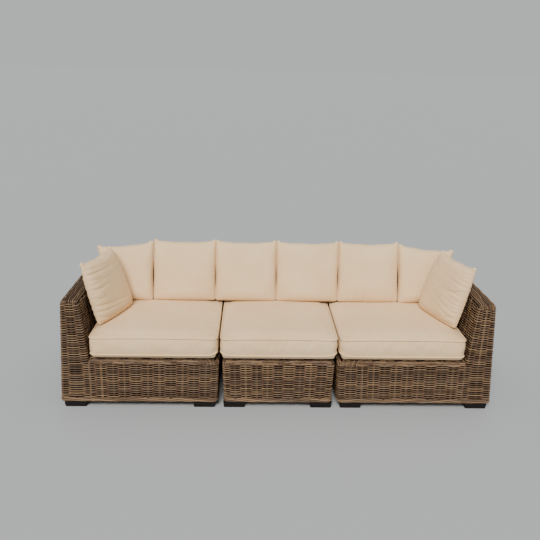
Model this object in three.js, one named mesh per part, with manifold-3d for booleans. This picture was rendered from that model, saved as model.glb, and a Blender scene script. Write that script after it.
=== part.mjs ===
// Modular garden sofa in woven rattan: two corner seats, each with one arm and a back,
// and an armless seat between them, with three boxed seat cushions and eight loose cushions.
// Millimetres, +Z up, front towards -Y. The origin is on the floor under the middle of the sofa.

import * as THREE from 'three';
import Module from 'manifold-3d';
import { mergeVertices } from 'three/addons/utils/BufferGeometryUtils.js';

const wasm = await Module();
wasm.setup();

// Driving dimensions of the three seats
const TOTAL_WIDTH = 2700;
const MIDDLE_WIDTH = 722;
const MODULE_GAP = 10;
const DEPTH = 900;
const FOOT_HEIGHT = 38;
const SEAT_HEIGHT = 333;
const WALL_HEIGHT = 715;

// The arm and back walls are wedges: both faces lean in towards the top
const WALL_LEAN = 38;
const WALL_TOP_WIDTH = 110;
const WALL_SEAT_WIDTH = 192;
const SIDE_TAPER = 12;

// Woven skin with its plaited border along the floor edge. The weave bulges over each upright
// stake and sinks between two, and the counts are the spaces between stakes on each face.
const SKIN = 20;
const WEAVE_SINK = 5;
const DEPTH_SPACES = 12;
const WALL_END_SPACES = 2;
const CORNER_REAR_SPACES = 13;
const CORNER_FRONT_SPACES = 11;
const MIDDLE_SPACES = 10;
const BORDER_HEIGHT = 30;
const BORDER_PROUD = 4;
const PLAN_RADIUS = 22;
const WALL_EDGE_RADIUS = 18;
const BASE_EDGE_RADIUS = 14;
const DECK_DROP = 2;
const DECK_EDGE = 3;

// Timber inside the woven skin
const BAR = 28;
const RIB_THICKNESS = 22;
const BOARD_HEIGHT = 24;
const SEAT_FRAME_HEIGHT = 40;
const SLAT_WIDTH = 62;
const SLAT_COUNT = 5;
const RIB_PITCH = 185;
const POST_PITCH = 240;

// Feet
const FOOT_WIDTH = 138;
const FOOT_DEPTH = 95;
const FOOT_RECESS = 12;
const FOOT_SIDE_OUTER = 23;
const FOOT_SIDE_INNER = 20;
const FOOT_CORNER = 8;
const FOOT_EDGE = 6;

// Boxed seat cushions
const CUSHION_UNDERSIDE_LIFT = 26;
const CUSHION_BOXING = 106;
const CUSHION_CROWN = 18;
const CUSHION_CORNER = 42;
const CUSHION_WAIST = 4;
const CUSHION_EDGE_LIFT = 6;
const CUSHION_ARM_ROOM = 6;
const CUSHION_SIDE_ROOM = 5;
const CUSHION_MIDDLE_ROOM = 3;
const CUSHION_FRONT_ROOM = 4;
const CUSHION_REAR_ROOM = 3;
const CUSHION_CORNER_STEPS = 2;
const CUSHION_FLAT_STEPS = 8;

// Loose cushions. Depths are measured from the front plane, and the lift from the seat.
const PILLOW_FRONT_SWELL = 84;
const PILLOW_REAR_SWELL = 50;
const PILLOW_SIDE_DRAW_IN = 3;
const PILLOW_HEAD_DRAW_IN = 19;
const PILLOW_EAR = 30;
const PILLOW_ROUNDNESS = 3;
const PILLOW_FOOT_WEIGHT = 0.1;
const PILLOW_STEPS = 12;
const PILLOW_LIFT = 156;
const PILLOW_RISE = 405;
const PILLOW_FOOT_DEPTH = 622;
const PILLOW_HEAD_DEPTH = 749;

// Least gap between two pieces that touch
const FIT = 0.3;

// Values worked out from the driving dimensions
const HALF_WIDTH = TOTAL_WIDTH / 2;
const HALF_MIDDLE = MIDDLE_WIDTH / 2;
const FRONT = -DEPTH / 2;
const BACK = DEPTH / 2;
const CORNER_INNER = -(HALF_MIDDLE + MODULE_GAP);
const ARM_INSIDE = -HALF_WIDTH + WALL_SEAT_WIDTH;
const BACK_INSIDE = BACK - WALL_SEAT_WIDTH;
const FRAME_FLOOR = FOOT_HEIGHT + FIT;
const SEAT_FRAME_TOP = SEAT_HEIGHT - SKIN - FIT;
const SEAT_FRAME_FLOOR = SEAT_FRAME_TOP - SEAT_FRAME_HEIGHT;
const SIDE_FRAME_INSET = SIDE_TAPER + SKIN + BORDER_PROUD + FIT;
const WALL_FRAME_TOP = WALL_HEIGHT - SKIN - FIT;
const PILLOW_FOOT = SEAT_HEIGHT + PILLOW_LIFT;
const APRON_ROOM = SKIN + SIDE_TAPER + PLAN_RADIUS;
const FAR = 2 * DEPTH;

// Facets to a quarter turn of a corner, and to the border's half round
const CORNER_STEPS = 3;
const BORDER_STEPS = 4;

const FINISHES = {
  rattan: { color: 0x8d7866, roughness: 0.82, metalness: 0 },
  cotton: { color: 0xe9d6b8, roughness: 0.95, metalness: 0 },
  timber: { color: 0xa98a5f, roughness: 0.75, metalness: 0 },
  dark_wood: { color: 0x1d1714, roughness: 0.55, metalness: 0 },
};

const sofa = new THREE.Group();

function addMesh(name, finish, geometry) {
  const mesh = new THREE.Mesh(geometry, new THREE.MeshStandardMaterial(FINISHES[finish]));
  mesh.name = name;
  sofa.add(mesh);
}

// Geometry from a list of points and a list of triangles

function geometryFrom(points, triangles) {
  const geometry = new THREE.BufferGeometry();
  geometry.setAttribute('position', new THREE.Float32BufferAttribute(points.flat(), 3));
  geometry.setIndex(triangles.flat());
  return geometry;
}

// The same shape seen in a mirror on the plane x = 0

function mirrored(geometry) {
  const copy = geometry.clone();
  const place = copy.getAttribute('position');
  for (let i = 0; i < place.count; i += 1) place.setX(i, -place.getX(i));
  const index = copy.getIndex();
  for (let i = 0; i < index.count; i += 3) {
    const first = index.getX(i);
    index.setX(i, index.getX(i + 1));
    index.setX(i + 1, first);
  }
  return copy;
}

function toSolid(geometry) {
  const bare = geometry.clone();
  bare.deleteAttribute('normal');
  bare.deleteAttribute('uv');
  const merged = mergeVertices(bare, 1e-4);
  return new wasm.Manifold(new wasm.Mesh({
    numProp: 3,
    vertProperties: new Float32Array(merged.getAttribute('position').array),
    triVerts: new Uint32Array(merged.getIndex().array),
  }));
}

function toGeometry(solid) {
  const mesh = solid.getMesh();
  const geometry = new THREE.BufferGeometry();
  geometry.setAttribute('position', new THREE.BufferAttribute(new Float32Array(mesh.vertProperties), 3));
  geometry.setIndex(new THREE.BufferAttribute(new Uint32Array(mesh.triVerts), 1));
  return geometry;
}

function boxSolid(x0, x1, y0, y1, z0, z1) {
  const box = new THREE.BoxGeometry(x1 - x0, y1 - y0, z1 - z0);
  box.translate((x0 + x1) / 2, (y0 + y1) / 2, (z0 + z1) / 2);
  return toSolid(box);
}

// A flat outline, given as points, drawn out from z0 to z1

function prismSolid(outline, z0, z1) {
  const shape = new THREE.Shape(outline.map(([x, y]) => new THREE.Vector2(x, y)));
  const prism = new THREE.ExtrudeGeometry(shape, { depth: z1 - z0, bevelEnabled: false });
  prism.translate(0, 0, z0);
  return toSolid(prism);
}

function joined(solids) {
  return solids.reduce((whole, piece) => whole.add(piece));
}

// Points round a rectangle, whose corners are rounded unless the radius is 0. A woven side touches
// the rectangle at its stakes and sinks halfway between two. spaces counts the spaces between the
// stakes of the right, rear, left and front sides, and a side with none is plain.

function roundedOutline({ x0, x1, y0, y1, radius, spaces = [0, 0, 0, 0], sink = 0 }) {
  const corners = [[x1, y0], [x1, y1], [x0, y1], [x0, y0]];
  if (radius === 0) return corners;
  const outline = [];
  corners.forEach(([x, y], side) => {
    const start = (side - 1) * 0.5 * Math.PI;
    const end = side * 0.5 * Math.PI;
    const centreX = x === x1 ? x1 - radius : x0 + radius;
    const centreY = y === y1 ? y1 - radius : y0 + radius;
    for (let k = 0; k <= CORNER_STEPS; k += 1) {
      const angle = start + (k / CORNER_STEPS) * (end - start);
      outline.push([centreX + radius * Math.cos(angle), centreY + radius * Math.sin(angle)]);
    }
    const [nextX, nextY] = corners[(side + 1) % corners.length];
    for (let k = 1; k < 2 * spaces[side]; k += 1) {
      const share = k / (2 * spaces[side]);
      const depth = k % 2 === 1 ? sink : 0;
      outline.push([
        x + (nextX - x) * share - depth * Math.cos(end),
        y + (nextY - y) * share - depth * Math.sin(end),
      ]);
    }
  });
  return outline;
}

// A closed body through rounded rectangles that lie one above the other, the lowest and the
// highest closed by a fan round its middle

function loft(levels) {
  const rings = levels.map((level) => roundedOutline(level).map(([x, y]) => [x, y, level.z]));
  const size = rings[0].length;
  const middles = [levels[0], levels[levels.length - 1]].map(({ x0, x1, y0, y1, z }) => (
    [(x0 + x1) / 2, (y0 + y1) / 2, z]
  ));
  const points = [...rings.flat(), ...middles];
  const triangles = [];
  for (let r = 0; r + 1 < rings.length; r += 1) {
    for (let k = 0; k < size; k += 1) {
      const a = r * size + k;
      const b = r * size + ((k + 1) % size);
      triangles.push([a, b, b + size], [a, b + size, a + size]);
    }
  }
  const last = (rings.length - 1) * size;
  const [lowMiddle, highMiddle] = [rings.length * size, rings.length * size + 1];
  for (let k = 0; k < size; k += 1) {
    const next = (k + 1) % size;
    triangles.push([lowMiddle, next, k], [highMiddle, last + k, last + next]);
  }
  return geometryFrom(points, triangles);
}

// How far the wall faces and the seat sides stand in from the module's outer planes at a height

function outerLean(z) {
  const borderTop = FOOT_HEIGHT + BORDER_HEIGHT;
  return BORDER_PROUD + (WALL_LEAN * Math.max(z - borderTop, 0)) / (WALL_HEIGHT - borderTop);
}

function innerReach(z) {
  const rise = Math.max(z - SEAT_HEIGHT, 0) / (WALL_HEIGHT - SEAT_HEIGHT);
  const topReach = WALL_LEAN + BORDER_PROUD + WALL_TOP_WIDTH;
  return WALL_SEAT_WIDTH + (topReach - WALL_SEAT_WIDTH) * rise;
}

function sideTaper(z) {
  const drop = Math.max(SEAT_HEIGHT - z, 0) / (SEAT_HEIGHT - FOOT_HEIGHT);
  return BORDER_PROUD / 2 + SIDE_TAPER * drop;
}

// Heights of an outer surface, with the half-round border at the floor and a rounded top edge.
// proud is how far the surface stands out there, and negative where the edge curves in. The weave
// sinks between its stakes from just above the border up to the flat top.

function surfaceLevels(top, edgeRadius) {
  const levels = [];
  for (let k = 0; k <= BORDER_STEPS; k += 1) {
    const angle = (k / BORDER_STEPS - 0.5) * Math.PI;
    const z = FOOT_HEIGHT + BORDER_HEIGHT / 2 + (BORDER_HEIGHT / 2) * Math.sin(angle);
    levels.push({ z, proud: BORDER_PROUD * Math.cos(angle), sink: 0 });
  }
  levels.push({ z: FOOT_HEIGHT + BORDER_HEIGHT + WEAVE_SINK, proud: 0, sink: WEAVE_SINK });
  if (top > SEAT_HEIGHT) levels.push({ z: SEAT_HEIGHT, proud: 0, sink: WEAVE_SINK });
  for (let k = 0; k <= CORNER_STEPS; k += 1) {
    const angle = (k / CORNER_STEPS) * 0.5 * Math.PI;
    const z = top - edgeRadius + edgeRadius * Math.sin(angle);
    const sink = k < CORNER_STEPS ? WEAVE_SINK : 0;
    levels.push({ z, proud: -edgeRadius * (1 - Math.cos(angle)), sink });
  }
  return levels;
}

function hollowLevels(top) {
  const levels = [{ z: 0, proud: -SKIN }, { z: FOOT_HEIGHT, proud: -SKIN }];
  if (top > SEAT_HEIGHT) levels.push({ z: SEAT_HEIGHT, proud: -SKIN });
  levels.push({ z: top, proud: -SKIN });
  return levels;
}

// Plan rectangles of an arm, a back and a seat base at one height, with the spaces between stakes
// on the faces that show

function armPlan({ z, proud, sink }, radius) {
  return {
    z,
    sink,
    spaces: [0, 0, DEPTH_SPACES, WALL_END_SPACES],
    x0: -HALF_WIDTH + outerLean(z) - proud,
    x1: -HALF_WIDTH + innerReach(z) + Math.min(proud, 0),
    y0: FRONT + BORDER_PROUD - proud,
    y1: BACK - outerLean(z) + proud,
    radius,
  };
}

function backPlan(module, { z, proud, sink }, radius) {
  const left = module.hasArm ? outerLean(z) : sideTaper(z) + BORDER_PROUD / 2;
  const leftSpaces = module.hasArm ? 0 : WALL_END_SPACES;
  return {
    z,
    sink,
    spaces: [WALL_END_SPACES, module.hasArm ? CORNER_REAR_SPACES : MIDDLE_SPACES, leftSpaces, 0],
    x0: module.x0 + left - proud,
    x1: module.x1 - sideTaper(z) - BORDER_PROUD / 2 + proud,
    y0: BACK - innerReach(z) - Math.min(proud, 0),
    y1: BACK - outerLean(z) + proud,
    radius,
  };
}

function basePlan(module, { z, proud, sink }, radius) {
  const right = module.x1 - sideTaper(z) - BORDER_PROUD / 2;
  const space = (right - ARM_INSIDE) / CORNER_FRONT_SPACES;
  const left = module.hasArm ? ARM_INSIDE - WALL_END_SPACES * space : -right;
  const frontSpaces = module.hasArm ? WALL_END_SPACES + CORNER_FRONT_SPACES : MIDDLE_SPACES;
  return {
    z,
    sink,
    spaces: [DEPTH_SPACES, 0, 0, frontSpaces],
    x0: left - proud,
    x1: right + proud,
    y0: FRONT + BORDER_PROUD - proud,
    y1: BACK - outerLean(z) + proud,
    radius,
  };
}

// Where the top edge curves in, the corners seen from above grow tighter by as much

function skinBetween(planAt, top, edgeRadius, hollowTop) {
  const outside = loft(surfaceLevels(top, edgeRadius).map((level) => (
    planAt(level, PLAN_RADIUS + Math.min(level.proud, 0))
  )));
  const inside = loft(hollowLevels(hollowTop).map((level) => planAt(level, 0)));
  return toSolid(outside).subtract(toSolid(inside));
}

// Everything in front of, or behind, a vertical 45 degree mitre through a corner of a seat

function mitreSide(x, y, keepFront) {
  const nudge = keepFront ? -FIT / 2 : FIT / 2;
  const upper = [x - FAR, y + FAR + nudge];
  const lower = [x + FAR, y - FAR + nudge];
  const outline = keepFront ? [[x - FAR, y - FAR], lower, upper] : [[x + FAR, y + FAR], upper, lower];
  return prismSolid(outline, -FOOT_HEIGHT, 2 * WALL_HEIGHT);
}

// Woven arm: a hollow wedge, closed in front, open below, mitred to the back

function armWall() {
  const skin = skinBetween(armPlan, WALL_HEIGHT, WALL_EDGE_RADIUS, WALL_HEIGHT - SKIN);
  const underSeat = boxSolid(
    ARM_INSIDE - 2 * SKIN, ARM_INSIDE + SKIN, FRONT + SKIN + BORDER_PROUD, BACK, 0, SEAT_HEIGHT - SKIN,
  );
  return toGeometry(skin.intersect(mitreSide(-HALF_WIDTH, BACK, true)).subtract(underSeat));
}

// Woven back: the same wedge along the back, with a closed end where the next seat stands

function backWall(module) {
  const planAt = (level, radius) => backPlan(module, level, radius);
  const skin = skinBetween(planAt, WALL_HEIGHT, WALL_EDGE_RADIUS, WALL_HEIGHT - SKIN);
  const start = module.hasArm ? module.x0 - SKIN : module.x0 + SKIN + SIDE_TAPER;
  const underSeat = boxSolid(
    start, module.x1 - SKIN - SIDE_TAPER, BACK_INSIDE - SKIN, BACK_INSIDE + 2 * SKIN,
    0, SEAT_HEIGHT - SKIN,
  );
  const whole = skin.subtract(underSeat);
  return toGeometry(module.hasArm ? whole.intersect(mitreSide(module.x0, BACK, false)) : whole);
}

// Woven faces of the seat base, cut from one tapering ring

function baseRing(module) {
  const planAt = (level, radius) => basePlan(module, level, radius);
  return skinBetween(planAt, SEAT_HEIGHT, BASE_EDGE_RADIUS, SEAT_HEIGHT + SKIN);
}

function frontApron(module) {
  const start = module.hasArm ? ARM_INSIDE + FIT : module.x0 - SKIN;
  const strip = boxSolid(start, module.x1 + SKIN, FRONT - SKIN, FRONT + APRON_ROOM, 0, WALL_HEIGHT);
  const apron = baseRing(module).intersect(strip).intersect(mitreSide(module.x1, FRONT, true));
  if (module.hasArm) return toGeometry(apron);
  const otherEnd = toSolid(mirrored(toGeometry(mitreSide(-module.x0, FRONT, true))));
  return toGeometry(apron.intersect(otherEnd));
}

function sideApron(module) {
  const strip = boxSolid(
    module.x1 - APRON_ROOM, module.x1 + SKIN, FRONT - SKIN, BACK_INSIDE - FIT, 0, WALL_HEIGHT,
  );
  return toGeometry(baseRing(module).intersect(strip).intersect(mitreSide(module.x1, FRONT, false)));
}

// Woven seat panel that closes the top of the base

function seatDeck(module) {
  const sideInset = SKIN + BORDER_PROUD / 2 + sideTaper(SEAT_HEIGHT - SKIN) + FIT;
  const bounds = {
    x0: module.hasArm ? ARM_INSIDE + FIT : module.x0 + sideInset,
    x1: module.x1 - sideInset,
    y0: FRONT + SKIN + BORDER_PROUD + FIT,
    y1: BACK_INSIDE - FIT,
    radius: 0,
  };
  const top = SEAT_HEIGHT - DECK_DROP;
  const eased = {
    ...bounds,
    x0: bounds.x0 + DECK_EDGE,
    x1: bounds.x1 - DECK_EDGE,
    y0: bounds.y0 + DECK_EDGE,
    y1: bounds.y1 - DECK_EDGE,
  };
  return loft([
    { ...bounds, z: SEAT_HEIGHT - SKIN },
    { ...bounds, z: top - DECK_EDGE },
    { ...eased, z: top },
  ]);
}

// Timber ladder behind a woven face of the base: two rails and the posts between them,
// left by cutting the bays out of one board

function ladder(x0, x1, y0, y1) {
  const alongX = x1 - x0 > y1 - y0;
  const length = alongX ? x1 - x0 : y1 - y0;
  const top = SEAT_FRAME_FLOOR - FIT;
  const bays = Math.ceil((length - BAR) / POST_PITCH);
  let board = boxSolid(x0, x1, y0, y1, FRAME_FLOOR, top);
  for (let k = 0; k < bays; k += 1) {
    const start = (k / bays) * (length - BAR) + BAR;
    const end = ((k + 1) / bays) * (length - BAR);
    const bay = alongX
      ? [x0 + start, x0 + end, y0 - BAR, y1 + BAR]
      : [x0 - BAR, x1 + BAR, y0 + start, y0 + end];
    board = board.subtract(boxSolid(...bay, FRAME_FLOOR + BAR, top - BAR));
  }
  return toGeometry(board);
}

// Timber under the woven seat: a frame with slats let into it

function seatFrame(module) {
  const x0 = (module.hasArm ? ARM_INSIDE - SKIN : module.x0 + SIDE_FRAME_INSET) + FIT;
  const x1 = module.x1 - SIDE_FRAME_INSET;
  const y0 = FRONT + SKIN + BORDER_PROUD + FIT;
  const y1 = BACK_INSIDE + SKIN - FIT;
  const outer = boxSolid(x0, x1, y0, y1, SEAT_FRAME_FLOOR, SEAT_FRAME_TOP);
  const well = boxSolid(
    x0 + BAR, x1 - BAR, y0 + BAR, y1 - BAR, SEAT_FRAME_FLOOR - BAR, SEAT_FRAME_TOP + BAR,
  );
  const pieces = [outer.subtract(well)];
  const pitch = (y1 - y0 - 2 * BAR) / SLAT_COUNT;
  for (let k = 0; k < SLAT_COUNT; k += 1) {
    const middle = y0 + BAR + (k + 0.5) * pitch;
    const slat = [middle - SLAT_WIDTH / 2, middle + SLAT_WIDTH / 2];
    pieces.push(boxSolid(x0 + BAR / 2, x1 - BAR / 2, ...slat, SEAT_FRAME_TOP - BAR / 2, SEAT_FRAME_TOP));
  }
  return toGeometry(joined(pieces));
}

// Outline of one tapering rib that fills a hollow wall, as distance in from the outer plane and height

function ribOutline() {
  const inset = SKIN + FIT;
  return [
    [outerLean(FRAME_FLOOR) + inset, FRAME_FLOOR],
    [WALL_SEAT_WIDTH - inset, FRAME_FLOOR],
    [innerReach(SEAT_HEIGHT) - inset, SEAT_HEIGHT],
    [innerReach(WALL_FRAME_TOP) - inset, WALL_FRAME_TOP],
    [outerLean(WALL_FRAME_TOP) + inset, WALL_FRAME_TOP],
  ];
}

// Ribs on a floor board, tied by a top rail, laid out along +X with the outer plane at y = 0.
// The board, the rail and every rib are slices of the same outline.

function wallFrame(room) {
  const length = Math.floor(room);
  const outline = ribOutline();
  const slice = (start, thickness) => {
    const shape = new THREE.Shape(outline.map(([reach, z]) => new THREE.Vector2(reach, z)));
    const drawn = new THREE.ExtrudeGeometry(shape, { depth: thickness, bevelEnabled: false });
    drawn.rotateX(Math.PI / 2);
    drawn.rotateZ(Math.PI / 2);
    drawn.translate(start, 0, 0);
    return toSolid(drawn);
  };
  const bays = Math.ceil((length - RIB_THICKNESS) / RIB_PITCH);
  const board = slice(0, length).intersect(
    boxSolid(-DEPTH, 2 * TOTAL_WIDTH, -DEPTH, DEPTH, FRAME_FLOOR, FRAME_FLOOR + BOARD_HEIGHT),
  );
  const rail = slice(0, length).intersect(
    boxSolid(-DEPTH, 2 * TOTAL_WIDTH, -DEPTH, DEPTH, WALL_FRAME_TOP - BAR, WALL_FRAME_TOP),
  );
  const pieces = [board, rail];
  for (let k = 0; k <= bays; k += 1) {
    pieces.push(slice(Math.round((k / bays) * (length - RIB_THICKNESS)), RIB_THICKNESS));
  }
  return toGeometry(joined(pieces));
}

// In the arm the frame runs from the front face to the back frame

function armFrame() {
  const front = FRONT + SKIN + BORDER_PROUD + FIT;
  const frame = wallFrame(BACK_INSIDE + SKIN - FIT - front);
  frame.rotateZ(-Math.PI / 2);
  frame.translate(-HALF_WIDTH, BACK_INSIDE + SKIN - FIT, 0);
  return frame;
}

function backFrame(module) {
  const cornerRoom = SKIN + WALL_LEAN + BORDER_PROUD + FIT;
  const x0 = module.hasArm ? module.x0 + cornerRoom : module.x0 + SIDE_FRAME_INSET;
  const x1 = module.x1 - SIDE_FRAME_INSET;
  const frame = wallFrame(x1 - x0);
  frame.rotateZ(Math.PI);
  frame.translate(x1, BACK, 0);
  return frame;
}

// Low block foot with eased lower edges

function foot(x, y) {
  const plan = (inset, z) => ({
    z,
    x0: x + inset,
    x1: x + FOOT_WIDTH - inset,
    y0: y + inset,
    y1: y + FOOT_DEPTH - inset,
    radius: FOOT_CORNER,
  });
  return loft([plan(FOOT_EDGE, 0), plan(FOOT_EDGE / 2, FOOT_EDGE / 2), plan(0, FOOT_HEIGHT - FIT)]);
}

function addFeet(module, mirror) {
  const outer = module.x0 + (module.hasArm ? FOOT_SIDE_OUTER : FOOT_SIDE_INNER);
  const inner = module.x1 - FOOT_SIDE_INNER - FOOT_WIDTH;
  const front = FRONT + FOOT_RECESS;
  const rear = BACK - FOOT_RECESS - FOOT_DEPTH;
  for (const [side, x] of [['outer', outer], ['inner', inner]]) {
    for (const [end, y] of [['front', front], ['rear', rear]]) {
      const shape = foot(x, y);
      const label = module.hasArm ? side : { outer: 'left', inner: 'right' }[side];
      addMesh(`${module.name}_${end}_${label}_foot`, 'dark_wood', mirror ? mirrored(shape) : shape);
    }
  }
}

// Grid lines of a seat cushion: close together where the corner turns, even between

function gridLines(half) {
  const lines = [];
  const inner = half - CUSHION_CORNER;
  const cornerStep = CUSHION_CORNER / CUSHION_CORNER_STEPS;
  for (let k = 0; k < CUSHION_CORNER_STEPS; k += 1) lines.push(-half + cornerStep * k);
  for (let k = 0; k <= CUSHION_FLAT_STEPS; k += 1) lines.push(inner * ((2 * k) / CUSHION_FLAT_STEPS - 1));
  for (let k = CUSHION_CORNER_STEPS - 1; k >= 0; k -= 1) lines.push(half - cornerStep * k);
  return lines;
}

// Boxed cushion: a crowned top and underside between two seams, and a side band drawn in at mid-height.
// The top edge lifts a little towards the middle of each side, and the underside lies flat on the seat.

function seatCushion(x0, x1) {
  const y0 = FRONT + CUSHION_FRONT_ROOM;
  const y1 = BACK_INSIDE - CUSHION_REAR_ROOM;
  const halfX = (x1 - x0) / 2;
  const halfY = (y1 - y0) / 2;
  const xs = gridLines(halfX);
  const ys = gridLines(halfY);
  const count = xs.length;
  const seamLow = SEAT_HEIGHT + FIT + CUSHION_UNDERSIDE_LIFT;
  const seamHigh = seamLow + CUSHION_BOXING;

  const plan = (x, y, inset) => {
    const cornerX = Math.max(Math.abs(x) - (halfX - CUSHION_CORNER), 0);
    const cornerY = Math.max(Math.abs(y) - (halfY - CUSHION_CORNER), 0);
    const reach = Math.hypot(cornerX, cornerY);
    const shrink = reach > 0 ? Math.max(cornerX, cornerY) / reach : 1;
    const px = Math.sign(x) * (Math.abs(x) - cornerX * (1 - shrink));
    const py = Math.sign(y) * (Math.abs(y) - cornerY * (1 - shrink));
    return [px * (1 - inset / halfX), py * (1 - inset / halfY)];
  };
  const swell = (x, y) => Math.sqrt((1 - (x / halfX) ** 4) * (1 - (y / halfY) ** 4));
  const edgeLift = (x, y) => (
    CUSHION_EDGE_LIFT * (1 - (x / halfX) ** 2) * Math.sqrt(Math.sqrt(1 - (y / halfY) ** 2))
  );
  const place = ([x, y], z) => [x + (x0 + x1) / 2, y + (y0 + y1) / 2, z];

  const points = [];
  const top = [];
  const under = [];
  for (let j = 0; j < count; j += 1) {
    for (let i = 0; i < count; i += 1) {
      const [x, y] = [xs[i], ys[j]];
      top.push(points.length);
      points.push(place(plan(x, y, 0), seamHigh + CUSHION_CROWN * swell(x, y) + edgeLift(x, y)));
      under.push(points.length);
      const sag = CUSHION_UNDERSIDE_LIFT * Math.min(1, 2 * swell(x, y));
      points.push(place(plan(x, y, 0), seamLow - sag));
    }
  }

  const rim = [];
  for (let i = 0; i < count - 1; i += 1) rim.push([i, 0]);
  for (let j = 0; j < count - 1; j += 1) rim.push([count - 1, j]);
  for (let i = count - 1; i > 0; i -= 1) rim.push([i, count - 1]);
  for (let j = count - 1; j > 0; j -= 1) rim.push([0, j]);
  const waist = rim.map(([i, j]) => {
    points.push(place(plan(xs[i], ys[j], CUSHION_WAIST), (seamLow + seamHigh) / 2));
    return points.length - 1;
  });

  const triangles = [];
  for (let j = 0; j + 1 < count; j += 1) {
    for (let i = 0; i + 1 < count; i += 1) {
      const [a, b] = [j * count + i, j * count + i + 1];
      const [c, d] = [b + count, a + count];
      triangles.push([top[a], top[b], top[c]], [top[a], top[c], top[d]]);
      triangles.push([under[a], under[c], under[b]], [under[a], under[d], under[c]]);
    }
  }
  rim.forEach(([i, j], k) => {
    const next = (k + 1) % rim.length;
    const here = j * count + i;
    const there = rim[next][1] * count + rim[next][0];
    triangles.push([under[here], under[there], waist[next]], [under[here], waist[next], waist[k]]);
    triangles.push([waist[k], waist[next], top[there]], [waist[k], top[there], top[here]]);
  });
  return geometryFrom(points, triangles);
}

// Loose cushion through four corners, given as foot left, foot right, head right, head left as seen
// from the side that faces the sitter. Its corners are rounded into ears, its head is drawn in between
// them, and both faces swell. The foot rests on the seat, so that down there both faces swell level.

function pillow([footLeft, footRight, headRight, headLeft]) {
  const corner = [footLeft, footRight, headRight, headLeft].map((p) => new THREE.Vector3(...p));
  const across = corner[1].clone().add(corner[2]).sub(corner[0]).sub(corner[3]);
  const up = corner[2].clone().add(corner[3]).sub(corner[0]).sub(corner[1]);
  const ear = { u: (4 * PILLOW_EAR) / across.length(), v: (4 * PILLOW_EAR) / up.length() };
  across.normalize();
  up.normalize();
  const face = across.clone().cross(up).normalize();
  const level = new THREE.Vector3(face.x, face.y, 0).normalize();
  const points = [];
  const front = [];
  const rear = [];
  for (let j = 0; j <= PILLOW_STEPS; j += 1) {
    for (let i = 0; i <= PILLOW_STEPS; i += 1) {
      const u = Math.sin((i / PILLOW_STEPS - 0.5) * Math.PI);
      const v = Math.sin((j / PILLOW_STEPS - 0.5) * Math.PI);
      const overU = Math.max(Math.abs(u) - 1 + ear.u, 0) / ear.u;
      const overV = Math.max(Math.abs(v) - 1 + ear.v, 0) / ear.v;
      const pull = 1 - Math.max(overU, overV) / Math.max(Math.hypot(overU, overV), Number.EPSILON);
      const roundU = overV > 0 ? u - Math.sign(u) * overU * ear.u * pull : u;
      const roundV = overU > 0 ? v - Math.sign(v) * overV * ear.v * pull : v;
      const low = corner[0].clone().lerp(corner[1], (roundU + 1) / 2);
      const high = corner[3].clone().lerp(corner[2], (roundU + 1) / 2);
      const middle = low.lerp(high, (roundV + 1) / 2);
      middle.addScaledVector(across, -PILLOW_SIDE_DRAW_IN * (1 - v * v) * u ** 3);
      middle.addScaledVector(up, -PILLOW_HEAD_DRAW_IN * (1 - u * u) * Math.max(v, 0) ** 3);
      const share = (1 - Math.abs(u) ** PILLOW_ROUNDNESS) * (1 - Math.abs(v) ** PILLOW_ROUNDNESS);
      const swell = Math.sqrt(share) * (1 - PILLOW_FOOT_WEIGHT * v);
      const out = level.clone().lerp(face, (v + 1) / 2);
      const onRim = i === 0 || j === 0 || i === PILLOW_STEPS || j === PILLOW_STEPS;
      front.push(points.length);
      points.push(middle.clone().addScaledVector(out, PILLOW_FRONT_SWELL * (onRim ? 0 : swell)).toArray());
      if (onRim) {
        rear.push(front[front.length - 1]);
      } else {
        rear.push(points.length);
        points.push(middle.clone().addScaledVector(out, -PILLOW_REAR_SWELL * swell).toArray());
      }
    }
  }
  const row = PILLOW_STEPS + 1;
  const triangles = [];
  for (let j = 0; j < PILLOW_STEPS; j += 1) {
    for (let i = 0; i < PILLOW_STEPS; i += 1) {
      const [a, b] = [j * row + i, j * row + i + 1];
      const [c, d] = [b + row, a + row];
      const split = i < PILLOW_STEPS / 2 === j < PILLOW_STEPS / 2;
      if (split) {
        triangles.push([front[a], front[b], front[c]], [front[a], front[c], front[d]]);
        triangles.push([rear[a], rear[c], rear[b]], [rear[a], rear[d], rear[c]]);
      } else {
        triangles.push([front[a], front[b], front[d]], [front[b], front[c], front[d]]);
        triangles.push([rear[a], rear[d], rear[b]], [rear[b], rear[d], rear[c]]);
      }
    }
  }
  return geometryFrom(points, triangles);
}

// A cushion that leans on the back, between two places along the sofa

function backPillow(left, right, headLeft = left, headRight = right) {
  const footY = FRONT + PILLOW_FOOT_DEPTH;
  const headY = FRONT + PILLOW_HEAD_DEPTH;
  const headZ = PILLOW_FOOT + PILLOW_RISE;
  return pillow([
    [left, footY, PILLOW_FOOT],
    [right, footY, PILLOW_FOOT],
    [headRight, headY, headZ],
    [headLeft, headY, headZ],
  ]);
}

// The cushion in the corner: its outer ear stands over the arm, and hangs a little

function cornerPillow() {
  const footY = FRONT + PILLOW_FOOT_DEPTH;
  const headY = FRONT + PILLOW_HEAD_DEPTH;
  const headZ = PILLOW_FOOT + PILLOW_RISE;
  return pillow([
    [ARM_INSIDE + 32, footY + 14, PILLOW_FOOT + 4],
    [ARM_INSIDE + 308, footY - 14, PILLOW_FOOT],
    [ARM_INSIDE + 306, headY - 15, headZ - 8],
    [ARM_INSIDE - 78, headY - 55, headZ - 38],
  ]);
}

// The cushion that leans on the arm, turned a little towards the sitter at its rear end

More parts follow.
